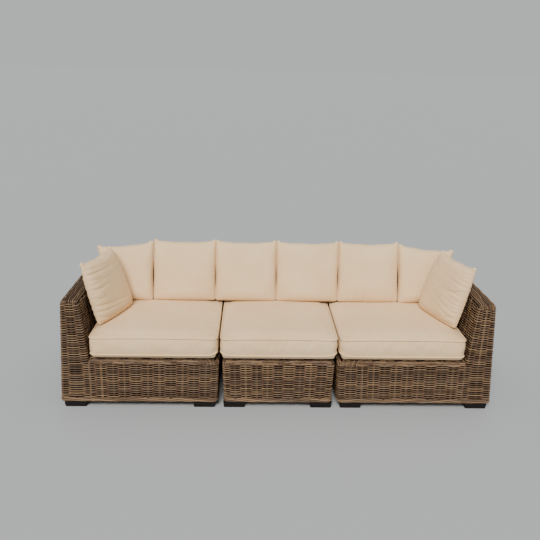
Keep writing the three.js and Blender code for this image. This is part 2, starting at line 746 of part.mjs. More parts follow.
function armPillow() {
  const headZ = PILLOW_FOOT + PILLOW_RISE - 6;
  return pillow([
    [ARM_INSIDE + 38, FRONT + 160, PILLOW_FOOT],
    [ARM_INSIDE + 174, FRONT + 546, PILLOW_FOOT],
    [ARM_INSIDE + 40, FRONT + 578, headZ],
    [ARM_INSIDE - 56, FRONT + 176, headZ],
  ]);
}

// One corner seat, drawn on the left, and mirrored for the right

function addCornerSeat(name, mirror) {
  const module = { name, x0: -HALF_WIDTH, x1: CORNER_INNER, hasArm: true };
  const add = (part, finish, shape) => addMesh(`${name}_${part}`, finish, mirror ? mirrored(shape) : shape);
  const frontBar = FRONT + SKIN + BORDER_PROUD + FIT;
  const ribInside = ARM_INSIDE - SKIN + FIT;
  const sideBar = module.x1 - SIDE_FRAME_INSET;
  add('arm_wall', 'rattan', armWall());
  add('back_wall', 'rattan', backWall(module));
  add('front_apron', 'rattan', frontApron(module));
  add('side_apron', 'rattan', sideApron(module));
  add('seat_deck', 'rattan', seatDeck(module));
  add('seat_frame', 'timber', seatFrame(module));
  add('arm_frame', 'timber', armFrame());
  add('back_frame', 'timber', backFrame(module));
  add('front_frame', 'timber', ladder(ribInside, sideBar, frontBar, frontBar + BAR));
  add('side_frame', 'timber', ladder(
    sideBar - BAR, sideBar, frontBar + BAR + FIT, BACK_INSIDE + SKIN - FIT,
  ));
  addFeet(module, mirror);
  add('seat_cushion', 'cotton', seatCushion(ARM_INSIDE + CUSHION_ARM_ROOM, module.x1 - CUSHION_SIDE_ROOM));
  add('arm_cushion', 'cotton', armPillow());
  add('corner_cushion', 'cotton', cornerPillow());
}

// The armless seat in the middle

function addMiddleSeat() {
  const module = { name: 'middle', x0: -HALF_MIDDLE, x1: HALF_MIDDLE, hasArm: false };
  const frontBar = FRONT + SKIN + BORDER_PROUD + FIT;
  const sideBar = module.x1 - SIDE_FRAME_INSET;
  const sideLadder = ladder(sideBar - BAR, sideBar, frontBar + BAR + FIT, BACK_INSIDE + SKIN - FIT);
  addMesh('middle_back_wall', 'rattan', backWall(module));
  addMesh('middle_front_apron', 'rattan', frontApron(module));
  addMesh('middle_right_apron', 'rattan', sideApron(module));
  addMesh('middle_left_apron', 'rattan', mirrored(sideApron(module)));
  addMesh('middle_seat_deck', 'rattan', seatDeck(module));
  addMesh('middle_seat_frame', 'timber', seatFrame(module));
  addMesh('middle_back_frame', 'timber', backFrame(module));
  addMesh('middle_front_frame', 'timber', ladder(-sideBar, sideBar, frontBar, frontBar + BAR));
  addMesh('middle_right_frame', 'timber', sideLadder);
  addMesh('middle_left_frame', 'timber', mirrored(sideLadder));
  addFeet(module, false);
  addMesh('middle_seat_cushion', 'cotton', seatCushion(
    module.x0 + CUSHION_MIDDLE_ROOM, module.x1 - CUSHION_MIDDLE_ROOM,
  ));
}

addCornerSeat('left', false);
addMiddleSeat();
addCornerSeat('right', true);
addMesh('left_back_cushion', 'cotton', backPillow(-847, -423));
addMesh('middle_back_cushion_left', 'cotton', backPillow(-419, -3));
addMesh('middle_back_cushion_right', 'cotton', backPillow(1, 424, 1, 432));
addMesh('right_back_cushion', 'cotton', backPillow(429, 847, 438, 851));

export default sofa;
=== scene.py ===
"""The looks of a three-section woven garden sofa with boxed seats and loose cushions.

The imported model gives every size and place. Each woven wall is built strand by strand, each
cushion is filled by a short cloth simulation, and the timber frames and block feet keep their
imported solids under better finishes.
"""

import functools
import logging
import math
from collections.abc import Callable, Sequence
from dataclasses import dataclass, field
from enum import Enum
from typing import ClassVar

import bpy
import numpy as np
from mathutils import Matrix, Vector


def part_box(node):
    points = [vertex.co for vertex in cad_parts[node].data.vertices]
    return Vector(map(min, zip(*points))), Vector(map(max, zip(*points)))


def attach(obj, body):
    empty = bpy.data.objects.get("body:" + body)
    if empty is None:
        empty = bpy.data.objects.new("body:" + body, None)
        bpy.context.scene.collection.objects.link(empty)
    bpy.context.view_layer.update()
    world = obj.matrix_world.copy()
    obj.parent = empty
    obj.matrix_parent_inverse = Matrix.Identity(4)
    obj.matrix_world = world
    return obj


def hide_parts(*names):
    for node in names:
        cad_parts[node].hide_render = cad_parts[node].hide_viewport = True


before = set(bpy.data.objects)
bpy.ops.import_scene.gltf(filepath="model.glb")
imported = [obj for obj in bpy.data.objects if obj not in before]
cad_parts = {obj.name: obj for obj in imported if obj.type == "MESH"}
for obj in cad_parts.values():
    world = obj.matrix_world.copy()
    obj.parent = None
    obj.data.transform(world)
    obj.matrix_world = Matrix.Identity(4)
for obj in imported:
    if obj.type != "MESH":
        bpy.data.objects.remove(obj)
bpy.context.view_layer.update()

Colour = tuple[float, float, float]
Numbers = np.ndarray

logging.basicConfig(level=logging.INFO, format="%(message)s")
log = logging.getLogger("sofa")


class Side(Enum):
    """The three seats, by their place as seen from the front."""

    LEFT = "left"
    MIDDLE = "middle"
    RIGHT = "right"


class Slot(Enum):
    """The record's names for the four finishes."""

    WOVEN = "woven_rattan"
    COTTON = "cotton_cover"
    TIMBER = "frame_timber"
    DARK_WOOD = "dark_wood"


# Shader graphs


class Value:
    """A socket that works in ordinary arithmetic, where each operation adds a Math node."""

    def __init__(self, graph: "Graph", socket: bpy.types.NodeSocket) -> None:
        """Wraps a socket."""
        self.graph = graph
        self.socket = socket

    def _math(self, operation: str, first: "Value | float", second: "Value | float") -> "Value":
        """Adds a Math node."""
        return self.graph.add("ShaderNodeMath", {"operation": operation}, {0: first, 1: second})

    def __add__(self, other: "Value | float") -> "Value":
        """Adds."""
        return self._math("ADD", self, other)

    def __radd__(self, other: float) -> "Value":
        """Adds, with the number first."""
        return self._math("ADD", other, self)

    def __sub__(self, other: "Value | float") -> "Value":
        """Subtracts."""
        return self._math("SUBTRACT", self, other)

    def __rsub__(self, other: float) -> "Value":
        """Subtracts from a number."""
        return self._math("SUBTRACT", other, self)

    def __mul__(self, other: "Value | float") -> "Value":
        """Multiplies."""
        return self._math("MULTIPLY", self, other)

    def __rmul__(self, other: float) -> "Value":
        """Multiplies, with the number first."""
        return self._math("MULTIPLY", other, self)

    def between(self, low: float, high: float) -> "Value":
        """Rises smoothly from 0 at low to 1 at high."""
        steps = {"interpolation_type": "SMOOTHSTEP"}
        return self.graph.add("ShaderNodeMapRange", steps, {"Value": self, 1: low, 2: high, 3: 0.0, 4: 1.0})


class Graph:
    """One material's nodes."""

    def __init__(self, name: str) -> None:
        """Makes an empty material.

        Args:
            name: The material's name.
        """
        self.material = bpy.data.materials.new(name)
        self.material.use_nodes = True
        self.tree = self.material.node_tree
        self.tree.nodes.clear()

    def add(
        self,
        kind: str,
        settings: dict[str, object] | None = None,
        inputs: dict[str | int, object] | None = None,
        output: str | int = 0,
    ) -> Value:
        """Adds a node.

        Args:
            kind: The node's type.
            settings: The node's own settings, such as a Math node's operation, set first.
            inputs: Values or links of its sockets, by name or number.
            output: The output that is wanted.

        Returns:
            That output.
        """
        node = self.tree.nodes.new(kind)
        for key, setting in (settings or {}).items():
            setattr(node, key, setting)
        for key, given in (inputs or {}).items():
            socket = node.inputs[key]
            if isinstance(given, Value):
                self.tree.links.new(given.socket, socket)
            else:
                socket.default_value = (*given, 1.0) if socket.type == "RGBA" else given
        return Value(self, node.outputs[output])

    def mix(self, factor: Value | float, first: object, second: object) -> Value:
        """Mixes two colours."""
        given = {0: factor, 6: first, 7: second}
        return self.add("ShaderNodeMix", {"data_type": "RGBA"}, given, 2)

    def noise(self, vector: Value, scale: float, detail: float = 2.0, roughness: float = 0.5) -> Value:
        """Adds a noise texture."""
        given = {"Vector": vector, "Scale": scale, "Detail": detail, "Roughness": roughness}
        return self.add("ShaderNodeTexNoise", None, given)

    def stretched(self, vector: Value, scale: tuple[float, float, float]) -> Value:
        """Scales a vector's three parts."""
        return self.add("ShaderNodeVectorMath", {"operation": "MULTIPLY"}, {0: vector, 1: scale})

    def attribute(self, name: str) -> Value:
        """Reads a mesh attribute as a vector."""
        return self.add("ShaderNodeAttribute", {"attribute_name": name}, None, "Vector")

    def parts(self, vector: Value) -> tuple[Value, Value, Value]:
        """Splits a vector.

        Args:
            vector: The vector.

        Returns:
            Its three numbers.
        """
        first = self.add("ShaderNodeSeparateXYZ", None, {0: vector})
        node = first.socket.node
        return first, Value(self, node.outputs[1]), Value(self, node.outputs[2])

    def place(self) -> Value:
        """Reads Object coordinates, which are the frame's own metres."""
        return self.add("ShaderNodeTexCoord", None, None, "Object")

    def bump(self, height: Value, strength: float, distance: float) -> Value:
        """Turns a height into a normal."""
        given = {"Strength": strength, "Distance": distance, "Height": height}
        return self.add("ShaderNodeBump", None, given)

    def finish(self, inputs: dict[str | int, object]) -> bpy.types.Material:
        """Adds the surface shader and the output.

        Args:
            inputs: The shader's values and links.

        Returns:
            The material.
        """
        shader = self.add("ShaderNodeBsdfPrincipled", None, inputs)
        output = self.tree.nodes.new("ShaderNodeOutputMaterial")
        self.tree.links.new(shader.socket, output.inputs["Surface"])
        return self.material


# Finishes


@dataclass(frozen=True)
class StrandFinish:
    """Weathered rattan strands: grey-brown, some redder, some bleached, and darkened inside the weave by
    painted shade.
    """

    weave_shade: Colour = (0.013, 0.0075, 0.0045)
    brown: Colour = (0.066, 0.036, 0.020)
    sand: Colour = (0.280, 0.178, 0.096)
    ash: Colour = (0.158, 0.114, 0.080)
    russet: Colour = (0.080, 0.032, 0.016)

    def material(self) -> bpy.types.Material:
        """Builds the material, which reads the attributes that every strand carries.

        Returns:
            The material.
        """
        g = Graph("rattan_strand")
        flow = g.attribute("flow")
        # The strand attribute's third number is painted shade, after how far in the weave each point lies.
        tone, warmth, depth = g.parts(g.attribute("strand"))
        fibre = g.noise(g.stretched(flow, (24.0, 2.6, 2.6)), 1.0, 3.0, 0.6)
        patch = g.noise(g.place(), 9.0, 2.0, 0.5)
        knots = g.noise(g.stretched(flow, (7.0, 0.8, 0.8)), 1.0, 1.0, 0.5)
        light = (tone * 0.70 + fibre * 0.60 + knots * 0.40 - 0.42).between(0.0, 0.95)
        body = g.mix(light, self.brown, self.sand)
        aged = g.mix((patch + warmth * 0.5).between(0.55, 1.05) * 0.60, body, self.ash)
        stained = g.mix((knots * fibre).between(0.34, 0.50) * 0.50, aged, self.brown)
        # Random warmth reddens some strands; the share that follows the third number is painted shade.
        red = g.mix((depth * 0.8 + warmth * 0.6).between(0.45, 0.95) * 0.75, stained, self.russet)
        # Painted shade: points far in the weave are darkened almost to black.
        shaded = g.mix(depth.between(0.35, 0.95) * 0.88, red, self.weave_shade)
        return g.finish(
            {
                "Base Color": shaded,
                "Roughness": 0.55 + fibre * 0.25,
                "Specular IOR Level": 0.30,
                "Normal": g.bump(fibre * 0.8 + knots * 0.4, 0.55, 0.0009),
            }
        )


@dataclass(frozen=True)
class ShadeSheetFinish:
    """Painted shade for the inside of the weave: a near-black sheet, seen only through the slots."""

    dark: Colour = (0.007, 0.0045, 0.003)
    brown: Colour = (0.020, 0.012, 0.008)

    def material(self) -> bpy.types.Material:
        """Builds the material.

        Returns:
            The material.
        """
        g = Graph("weave_painted_shade")
        place = g.place()
        rows = g.noise(g.stretched(place, (9.0, 9.0, 130.0)), 1.0, 2.0)
        colour = g.mix(rows, self.dark, self.brown)
        return g.finish({"Base Color": colour, "Roughness": 0.9, "Normal": g.bump(rows, 0.5, 0.002)})


@dataclass(frozen=True)
class CottonFinish:
    """Cream cotton covers: a plain weave with slubs, and a faint unevenness of tone."""

    cream: Colour = (0.745, 0.534, 0.310)
    pale: Colour = (0.785, 0.580, 0.354)
    warm: Colour = (0.680, 0.458, 0.245)
    thread: float = 0.0011

    def material(self) -> bpy.types.Material:
        """Builds the material, which reads the flat cloth's own metres from the mesh.

        Returns:
            The material.
        """
        g = Graph("cream_cotton")
        cloth = g.attribute("cloth")
        across, along, _ = g.parts(cloth)
        turn = 2 * math.pi / self.thread
        warp = g.add("ShaderNodeMath", {"operation": "SINE"}, {0: across * turn})
        weft = g.add("ShaderNodeMath", {"operation": "SINE"}, {0: along * turn})
        weave = warp * weft * 0.5 + 0.5
        slub = g.noise(g.stretched(cloth, (18.0, 420.0, 18.0)), 1.0, 3.0, 0.6)
        cross_slub = g.noise(g.stretched(cloth, (420.0, 18.0, 18.0)), 1.0, 3.0, 0.6)
        cloud = g.noise(g.place(), 5.0, 3.0, 0.55)
        tone = g.mix(cloud.between(0.3, 0.75), self.cream, self.pale)
        threads = g.mix((slub * cross_slub).between(0.20, 0.42) * 0.30, tone, self.warm)
        height = weave * 0.5 + slub * 0.45 + cross_slub * 0.45
        return g.finish(
            {
                "Base Color": threads,
                "Roughness": 0.78 + weave * 0.12,
                "Sheen Weight": 0.08,
                "Sheen Roughness": 0.45,
                "Specular IOR Level": 0.20,
                "Normal": g.bump(height, 0.35, 0.0007),
            }
        )


@dataclass(frozen=True)
class TimberFinish:
    """Sawn wood with growth rings along its length: pale for the frames, near black for the feet."""

    name: str
    early: Colour
    late: Colour
    wear: Colour
    roughness: float

    def material(self) -> bpy.types.Material:
        """Builds the material.

        Returns:
            The material.
        """
        g = Graph(self.name)
        place = g.place()
        bend = g.noise(g.stretched(place, (1.6, 5.0, 5.0)), 1.0, 2.0)
        rings = g.noise(g.stretched(place, (2.0, 46.0, 46.0)), 1.0, 4.0, 0.62)
        pores = g.noise(g.stretched(place, (26.0, 420.0, 420.0)), 1.0, 2.0, 0.7)
        grain = (rings * 0.75 + bend * 0.35).between(0.30, 0.78)
        wood = g.mix(grain, self.early, self.late)
        worn = g.mix(pores.between(0.58, 0.80) * 0.5, wood, self.wear)
        return g.finish(
            {
                "Base Color": worn,
                "Roughness": self.roughness + pores * 0.15,
                "Specular IOR Level": 0.22,
                "Normal": g.bump(grain * 0.5 + pores * 0.5, 0.4, 0.0006),
            }
        )


@dataclass(frozen=True)
class FloorFinish:
    """A plain pale floor."""

    pale: Colour = (0.36, 0.38, 0.40)

    def material(self) -> bpy.types.Material:
        """Builds the material.

        Returns:
            The material.
        """
        g = Graph("pale_floor")
        cloud = g.noise(g.place(), 1.5, 2.0)
        return g.finish({"Base Color": self.pale, "Roughness": 0.62 + cloud * 0.1})


class Finishes:
    """Every material of the sofa, made once."""

    def __init__(self) -> None:
        """Makes the materials."""
        self.strand = StrandFinish().material()
        self.shade_sheet = ShadeSheetFinish().material()
        self.cotton = CottonFinish().material()
        self.frame = TimberFinish(
            name="frame_timber",
            early=(0.42, 0.27, 0.145),
            late=(0.30, 0.17, 0.085),
            wear=(0.20, 0.11, 0.055),
            roughness=0.62,
        ).material()
        self.foot = TimberFinish(
            name="black_stained_wood",
            early=(0.0075, 0.006, 0.005),
            late=(0.004, 0.0032, 0.0027),
            wear=(0.020, 0.016, 0.013),
            roughness=0.55,
        ).material()


# Mesh helpers


def select_only(obj: bpy.types.Object) -> None:
    """Deselects everything but one object and makes it active.

    Args:
        obj: The object.
    """
    bpy.ops.object.select_all(action="DESELECT")
    obj.select_set(True)
    bpy.context.view_layer.objects.active = obj


def read_points(obj: bpy.types.Object) -> Numbers:
    """Reads a mesh's vertices.

    Args:
        obj: The mesh object.

    Returns:
        One row of three numbers for each vertex.
    """
    flat = np.zeros(len(obj.data.vertices) * 3)
    obj.data.vertices.foreach_get("co", flat)
    return flat.reshape(-1, 3)


def write_points(obj: bpy.types.Object, points: Numbers) -> None:
    """Moves a mesh's vertices."""
    obj.data.vertices.foreach_set("co", np.ascontiguousarray(points, float).ravel())
    obj.data.update()


def write_attribute(obj: bpy.types.Object, name: str, rows: Numbers) -> None:
    """Stores three numbers on each vertex."""
    made = obj.data.attributes.new(name, "FLOAT_VECTOR", "POINT")
    made.data.foreach_set("vector", np.ascontiguousarray(rows, float).ravel())


def edit_all(obj: bpy.types.Object, *steps: Callable[[], object]) -> None:
    """Selects a whole mesh in edit mode and runs operators on it.

    Args:
        obj: The mesh object.
        steps: The operators' calls, in order.
    """
    select_only(obj)
    bpy.ops.object.mode_set(mode="EDIT")
    bpy.ops.mesh.select_all(action="SELECT")
    for step in steps:
        step()
    bpy.ops.object.mode_set(mode="OBJECT")


def face_out(obj: bpy.types.Object) -> None:
    """Turns every face of a closed mesh outwards."""
    edit_all(obj, lambda: bpy.ops.mesh.normals_make_consistent(inside=False))


def apply_modifier(obj: bpy.types.Object, modifier: bpy.types.Modifier) -> None:
    """Applies a modifier."""
    select_only(obj)
    bpy.ops.object.modifier_apply(modifier=modifier.name)


def tubes(
    name: str,
    radius: float,
    resolution: int,
    lines: Sequence[Numbers],
    sizes: Sequence[Numbers] = (),
) -> bpy.types.Object:
    """Makes tubes along lines, as one mesh.

    Args:
        name: The mesh's name.
        radius: The tubes' radius.
        resolution: The bevel's resolution, 0 for four sides, 1 for six and 2 for eight.
        lines: The tubes' middle lines.
        sizes: The thickness at each point beside the usual one. Without it the tubes are closed rounds.

    Returns:
        The mesh object.
    """
    curve = bpy.data.curves.new(name, "CURVE")
    curve.dimensions = "3D"
    curve.bevel_depth = radius
    curve.bevel_resolution = resolution
    for index, line in enumerate(lines):
        spline = curve.splines.new("POLY")
        spline.points.add(len(line) - 1)
        spline.points.foreach_set("co", np.hstack([line, np.ones((len(line), 1))]).ravel())
        if sizes:
            spline.points.foreach_set("radius", sizes[index])
        spline.use_cyclic_u = not sizes
    obj = bpy.data.objects.new(name, curve)
    bpy.context.scene.collection.objects.link(obj)
    select_only(obj)
    bpy.ops.object.convert(target="MESH")
    bpy.data.curves.remove(curve)
    return bpy.context.view_layer.objects.active


def dress(obj: bpy.types.Object, body: str, nodes: Sequence[str] = ()) -> None:
    """Rides a finished piece on its body and lets it stand for its solids.

    Args:
        obj: The piece.
        body: The body that it moves with.
        nodes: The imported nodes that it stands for.
    """
    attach(obj, body)
    if nodes:
        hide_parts(*nodes)
    log.info("%s: %d faces on %s", obj.name, len(obj.data.polygons), body)


def sheet_from(name: str, rows: Numbers, thickness: float) -> bpy.types.Object:
    """Makes a thin sheet through a grid of points.

    Args:
        name: The sheet's name.
        rows: Points in a grid, rows by columns by three.
        thickness: How thick it is.

    Returns:
        The sheet.
    """
    count_rows, count_columns, _ = rows.shape
    bpy.ops.mesh.primitive_grid_add(x_subdivisions=count_columns - 1, y_subdivisions=count_rows - 1, size=1)
    sheet = bpy.context.view_layer.objects.active
    sheet.name = name
    write_points(sheet, rows.reshape(-1, 3))
    shell = sheet.modifiers.new("thickness", "SOLIDIFY")
    shell.thickness = thickness
    shell.offset = 0.0
    apply_modifier(sheet, shell)
    return sheet


def joined(main: bpy.types.Object, others: Sequence[bpy.types.Object]) -> bpy.types.Object:
    """Joins meshes into the first.

    Args:
        main: The mesh that keeps its name.
        others: The meshes that go into it.

    Returns:
        The joined mesh.
    """
    select_only(main)
    for other in others:
        other.select_set(True)
    bpy.ops.object.join()
    return main


# Woven panels


@dataclass
class Run:
    """A line along a woven row: where it goes, which way is out, and how many stakes it has passed."""

    xy: Numbers
    out: Numbers
    count: Numbers

    def between(self, first: float, last: float) -> "Run":
        """Cuts out the stretch between two stake counts.

        Args:
            first: The count where the stretch starts.
            last: The count where it ends.

        Returns:
            The stretch.
        """
        inside = self.count[(self.count > first + 0.02) & (self.count < last - 0.02)]
        counts = np.concatenate(([first], inside, [last]))
        return Run(self.at(counts), self.facing(counts), counts)

    def at(self, counts: Numbers) -> Numbers:
        """Finds the places of given stake counts."""
        return self._read(self.xy, counts)

    def facing(self, counts: Numbers) -> Numbers:
        """Finds the ways out at given stake counts."""
        return self._read(self.out, counts)

    def _read(self, rows: Numbers, counts: Numbers) -> Numbers:
        """Interpolates rows at given stake counts."""
        return np.stack([np.interp(counts, self.count, rows[:, k]) for k in range(2)], axis=1)


@dataclass(frozen=True)
class Corner:
    """A corner of a wall's outline, seen from above, with the stakes passed up to it."""

    x: float
    y: float
    count: float


def rounded_run(corners: Sequence[Corner], radius: float, samples: int) -> Run:
    """Walks along an outline whose square corners are rounded. The outside is on the left.

    Args:
        corners: The outline's corners.
        radius: The corners' radius.
        samples: Points between two stakes.

    Returns:
        The run.
    """
    arc_steps = 4
    xy, out, count = [], [], []
    last = len(corners) - 2
    for k in range(last + 1):
        here, there = corners[k], corners[k + 1]
        start = np.array([here.x, here.y])
        leg = np.array([there.x, there.y]) - start
        length = float(np.hypot(*leg))
        ahead = leg / length
        side = np.array([-ahead[1], ahead[0]])
        cut_start = radius if k else 0.0
        cut_end = radius if k < last else 0.0
        straight = length - cut_start - cut_end
        steps = max(1, round(abs(there.count - here.count) * samples * straight / length))
        for i in range(steps + 1):
            distance = cut_start + straight * i / steps
            xy.append(start + ahead * distance)
            out.append(side)
            count.append(here.count + (there.count - here.count) * distance / length)
        if k < last:
            beyond = corners[k + 2]
            onward = np.array([beyond.x - there.x, beyond.y - there.y])
            next_length = float(np.hypot(*onward))
            next_side = np.array([-onward[1], onward[0]]) / next_length
            centre = start + leg - (ahead + side) * radius
            before = there.count - (there.count - here.count) * radius / length
            after = there.count + (beyond.count - there.count) * radius / next_length
            for i in range(1, arc_steps):
                turn = math.pi / 2 * i / arc_steps
                facing = side * math.cos(turn) + next_side * math.sin(turn)
                xy.append(centre + facing * radius)
                out.append(facing)
                count.append(before + (after - before) * i / arc_steps)
    return Run(np.array(xy), np.array(out), np.array(count))


RunAt = Callable[[float, float], Run]
# An outline's corners: the plane across, the plane from front to back, and the stakes passed.
Outline = tuple[tuple[str, str, float], ...]


@dataclass
class Strands:
    """Round strands that become one mesh, each with its own thickness, tone and painted shade."""

    seed: int
    mirror: float = 1.0
    radius: float = 0.0034
    shortest_splice: int = 24
    splice_chance: float = 0.16
    paths: list[Numbers] = field(default_factory=list)
    sizes: list[Numbers] = field(default_factory=list)
    tones_and_shade: list[Numbers] = field(default_factory=list)

    def __post_init__(self) -> None:
        """Starts the seeded random draws."""
        self.random = np.random.default_rng(self.seed)

    def add(self, points: Numbers, size: float = 1.0, depth: Numbers | float = 0.0) -> None:
        """Adds one strand.

        Args:
            points: Its line.
            size: Its thickness beside the usual one.
            depth: How much painted shade each point takes, from 0 to 1.
        """
        line = np.array(points, float)
        line[:, 0] *= self.mirror
        tone, warmth = self.random.random(2)
        wobble = 1.0 + 0.05 * np.sin(np.arange(len(line)) * 0.9 + tone * 20)
        look = np.zeros((len(line), 3))
        look[:, 0] = tone
        look[:, 1] = warmth
        look[:, 2] = depth
        self.paths.append(line)
        self.sizes.append(size * wobble)
        self.tones_and_shade.append(look)

    def add_spliced(self, points: Numbers, size: float, depth: Numbers) -> None:
        """Adds a row as several strands, each new one starting where the row dips behind a stake.

        Args:
            points: The row's line.
            size: Its thickness beside the usual one.
            depth: How much painted shade each point takes.
        """
        inside = range(4, len(points) - 4)
        dips = [i for i in inside if depth[i] >= depth[i - 1] and depth[i] > depth[i + 1]]
        start = 0
        for i in dips:
            if (i - start) > self.shortest_splice and self.random.random() < self.splice_chance:
                self.add(points[start : i + 1], size, depth[start : i + 1])
                start = i
        self.add(points[start:], size, depth[start:])

    def build(self, name: str, sides: int = 6) -> bpy.types.Object:
        """Turns the strands into a mesh through one bevelled curve.

        Args:
            name: The mesh's name.
            sides: The number of sides of each strand, 4 or 6.

        Returns:
            The mesh object.
        """
        obj = tubes(name, self.radius, (sides - 4) // 2, self.paths, self.sizes)
        self._store_looks(obj, sides)
        edit_all(obj, lambda: bpy.ops.mesh.fill_holes(sides=sides))
        bpy.ops.object.shade_smooth_by_angle(angle=math.radians(75))
        return obj

    def _store_looks(self, obj: bpy.types.Object, sides: int) -> None:
        """Stores each strand's flow, tone and painted shade on the mesh, whose rings follow the strands'
        points.

        Args:
            obj: The mesh.
            sides: The number of vertices in a ring.
        """
        around = np.arange(sides) * 2 * math.pi / sides
        flows = []
        # Each strand reads its fibres and knots from a place of its own.
        for index, line in enumerate(self.paths):
            steps = np.linalg.norm(np.diff(line, axis=0), axis=1)
            along = np.concatenate(([0.0], np.cumsum(steps)))
            ring = np.zeros((len(line), sides, 3))
            ring[:, :, 0] = along[:, None] + index * 3.7
            ring[:, :, 1] = np.cos(around)[None, :] + index % 17
            ring[:, :, 2] = np.sin(around)[None, :] + index % 23
            flows.append(ring.reshape(-1, 3))
        write_attribute(obj, "flow", np.concatenate(flows))
        # The strand attribute holds each point's tone, warmth and painted shade.
        write_attribute(obj, "strand", np.repeat(np.concatenate(self.tones_and_shade), sides, axis=0))


@dataclass(frozen=True)
class Weave:
    """How the weave is made: strands in front of one stake and behind the next.

    The middle and the sheet of painted shade are given as depths behind a wall's face.
    """

    pitch: float = 0.0077
    swing: float = 0.0053
    middle: float = 0.0090
    shade_sheet_depth: float = 0.0188
    shade_sheet_thickness: float = 0.0010
    samples: int = 4
    squareness: float = 0.45
    stake_spread: float = 0.052
    first_row: float = 0.0740

    def heights(self, low: float, high: float) -> list[tuple[int, float]]:
        """Lists the rows between two heights, numbered from the floor up.

        Args:
            low: The lowest height.
            high: The highest height.

        Returns:
            Number and height of each row.
        """
        first = math.ceil((low - self.first_row) / self.pitch - 1e-6)
        last = math.floor((high - self.first_row) / self.pitch + 1e-6)
        return [(k, self.first_row + k * self.pitch) for k in range(first, last + 1)]

    def wave(self, count: Numbers) -> Numbers:
        """Swings between in front of a stake, at 1, and behind the next, at -1, crossing quickly."""
        even = np.cos(math.pi * count)
        return np.sign(even) * np.abs(even) ** self.squareness

    def rows(self, strands: Strands, run_at: RunAt, low: float, high: float) -> None:
        """Weaves level rows round a wall.

        Args:
            strands: Where the strands go.
            run_at: Gives the wall's run at a height and a depth.
            low: The lowest row's height.
            high: The highest row's height.
        """
        for number, height in self.heights(low, high):
            run = run_at(height, self.middle)
            wave = self.wave(run.count + number)
            drift = strands.random.random(3) * 6.3
            lift = 0.00045 * np.sin(run.count * 0.9 + drift[0])
            lift = lift + 0.00025 * np.sin(run.count * 2.3 + drift[1])
            swing = self.swing * (1 + 0.07 * np.sin(run.count * 1.7 + drift[2]))
            points = np.zeros((len(run.count), 3))
            points[:, :2] = run.xy + run.out * (wave * swing)[:, None]
            points[:, 2] = height + lift
            size = 0.97 + 0.10 * (strands.random.random() - 0.5)
            # Painted shade: each row is darkened where it passes behind a stake.
            strands.add_spliced(points, size, 0.5 - 0.5 * wave)

    def stakes(
        self, strands: Strands, run_at: RunAt, levels: Sequence[float], first: float, last: float
    ) -> None:
        """Stands a pair of stakes at each whole count, each with a random amount of painted shade, so some
        pale and some dark.

        Args:
            strands: Where the strands go.
            run_at: Gives the wall's run at a height and a depth.
            levels: The heights of the stake's points, from the floor up.
            first: The lowest count.
            last: The highest count.
        """
        counts = np.arange(math.ceil(first), math.floor(last) + 1)
        # Painted shade: each stake takes a random share of the weave's shade.
        stake_shades = np.clip(strands.random.normal(0.55, 0.18, len(counts)), 0.32, 0.85)
        for side in (-self.stake_spread, self.stake_spread):
            beside = np.clip(counts + side, first, last)
            places = np.stack([run_at(level, self.middle).at(beside) for level in levels])
            for k, stake_shade in enumerate(stake_shades):
                points = np.column_stack([places[:, k, :], levels])
                strands.add(points, 1.05, stake_shade)

    def shade_sheet(self, run_at: RunAt, levels: Sequence[float]) -> bpy.types.Object:
        """Makes the sheet of painted shade behind a wall's weave.

        Args:
            run_at: Gives the wall's run at a height and a depth.
            levels: The heights of the sheet's rows of points.

        Returns:
            The sheet.
        """
        counts = run_at(levels[0], self.shade_sheet_depth).count
        rows = []
        for level in levels:
            line = run_at(level, self.shade_sheet_depth).at(counts)
            rows.append(np.column_stack([line, np.full(len(line), level)]))
        return sheet_from("shade_sheet", np.stack(rows), self.shade_sheet_thickness)

    def scallops(
        self, strands: Strands, run_at: RunAt, first: float, last: float, corners: Sequence[float]
    ) -> None:
        """Turns the stakes' ends down along the base's edge: shallow arches, each from stake to stake.

        Args:
            strands: Where the strands go.
            run_at: Gives the wall's run at a height and a depth.
            first: The lowest count.
            last: The highest count.
            corners: The counts of the corners, where the edge rounds down a little.
        """
        for roll in RIM_ROLLS:
            run = run_at(roll.height, roll.depth)
            for k in range(math.floor(first) - 1, math.ceil(last) + 1):
                start = max(k + roll.shift - roll.overlap, first)
                end = min(k + roll.shift + 1 + roll.overlap, last)
                if end - start < roll.shortest:
                    continue
                counts = np.linspace(start, end, max(3, round((end - start) * roll.samples)))
                share = (counts - k - roll.shift + roll.overlap) / (1 + 2 * roll.overlap)
                arch = np.sin(math.pi * np.clip(share, 0, 1))
                dip = sum(np.exp(-(((counts - corner) / roll.dip_reach) ** 2)) for corner in corners)
                points = np.zeros((len(counts), 3))
                points[:, :2] = run.at(counts) + run.facing(counts) * ((arch - 1) * roll.sink)[:, None]
                points[:, 2] = roll.height + roll.rise * (arch - 0.5) - roll.corner_dip * dip
                # Painted shade: each arch is darkened towards its ends, where it tucks under.
                strands.add(points, roll.size * (0.86 + 0.14 * arch), 0.45 - 0.45 * arch)

    def rope(self, strands: Strands, run: Run, rope: "Rope") -> None:
        """Lays a twisted border along a run.

        Args:
            strands: Where the strands go.
            run: The border's middle line, seen from above.
            rope: Its sizes.
        """
        first, last = run.count[0], run.count[-1]
        fine = np.linspace(first, last, max(2, round((last - first) * rope.samples) + 1))
        centre = run.at(fine)
        facing = run.facing(fine)
        core = np.column_stack([centre, np.full(len(fine), rope.height)])
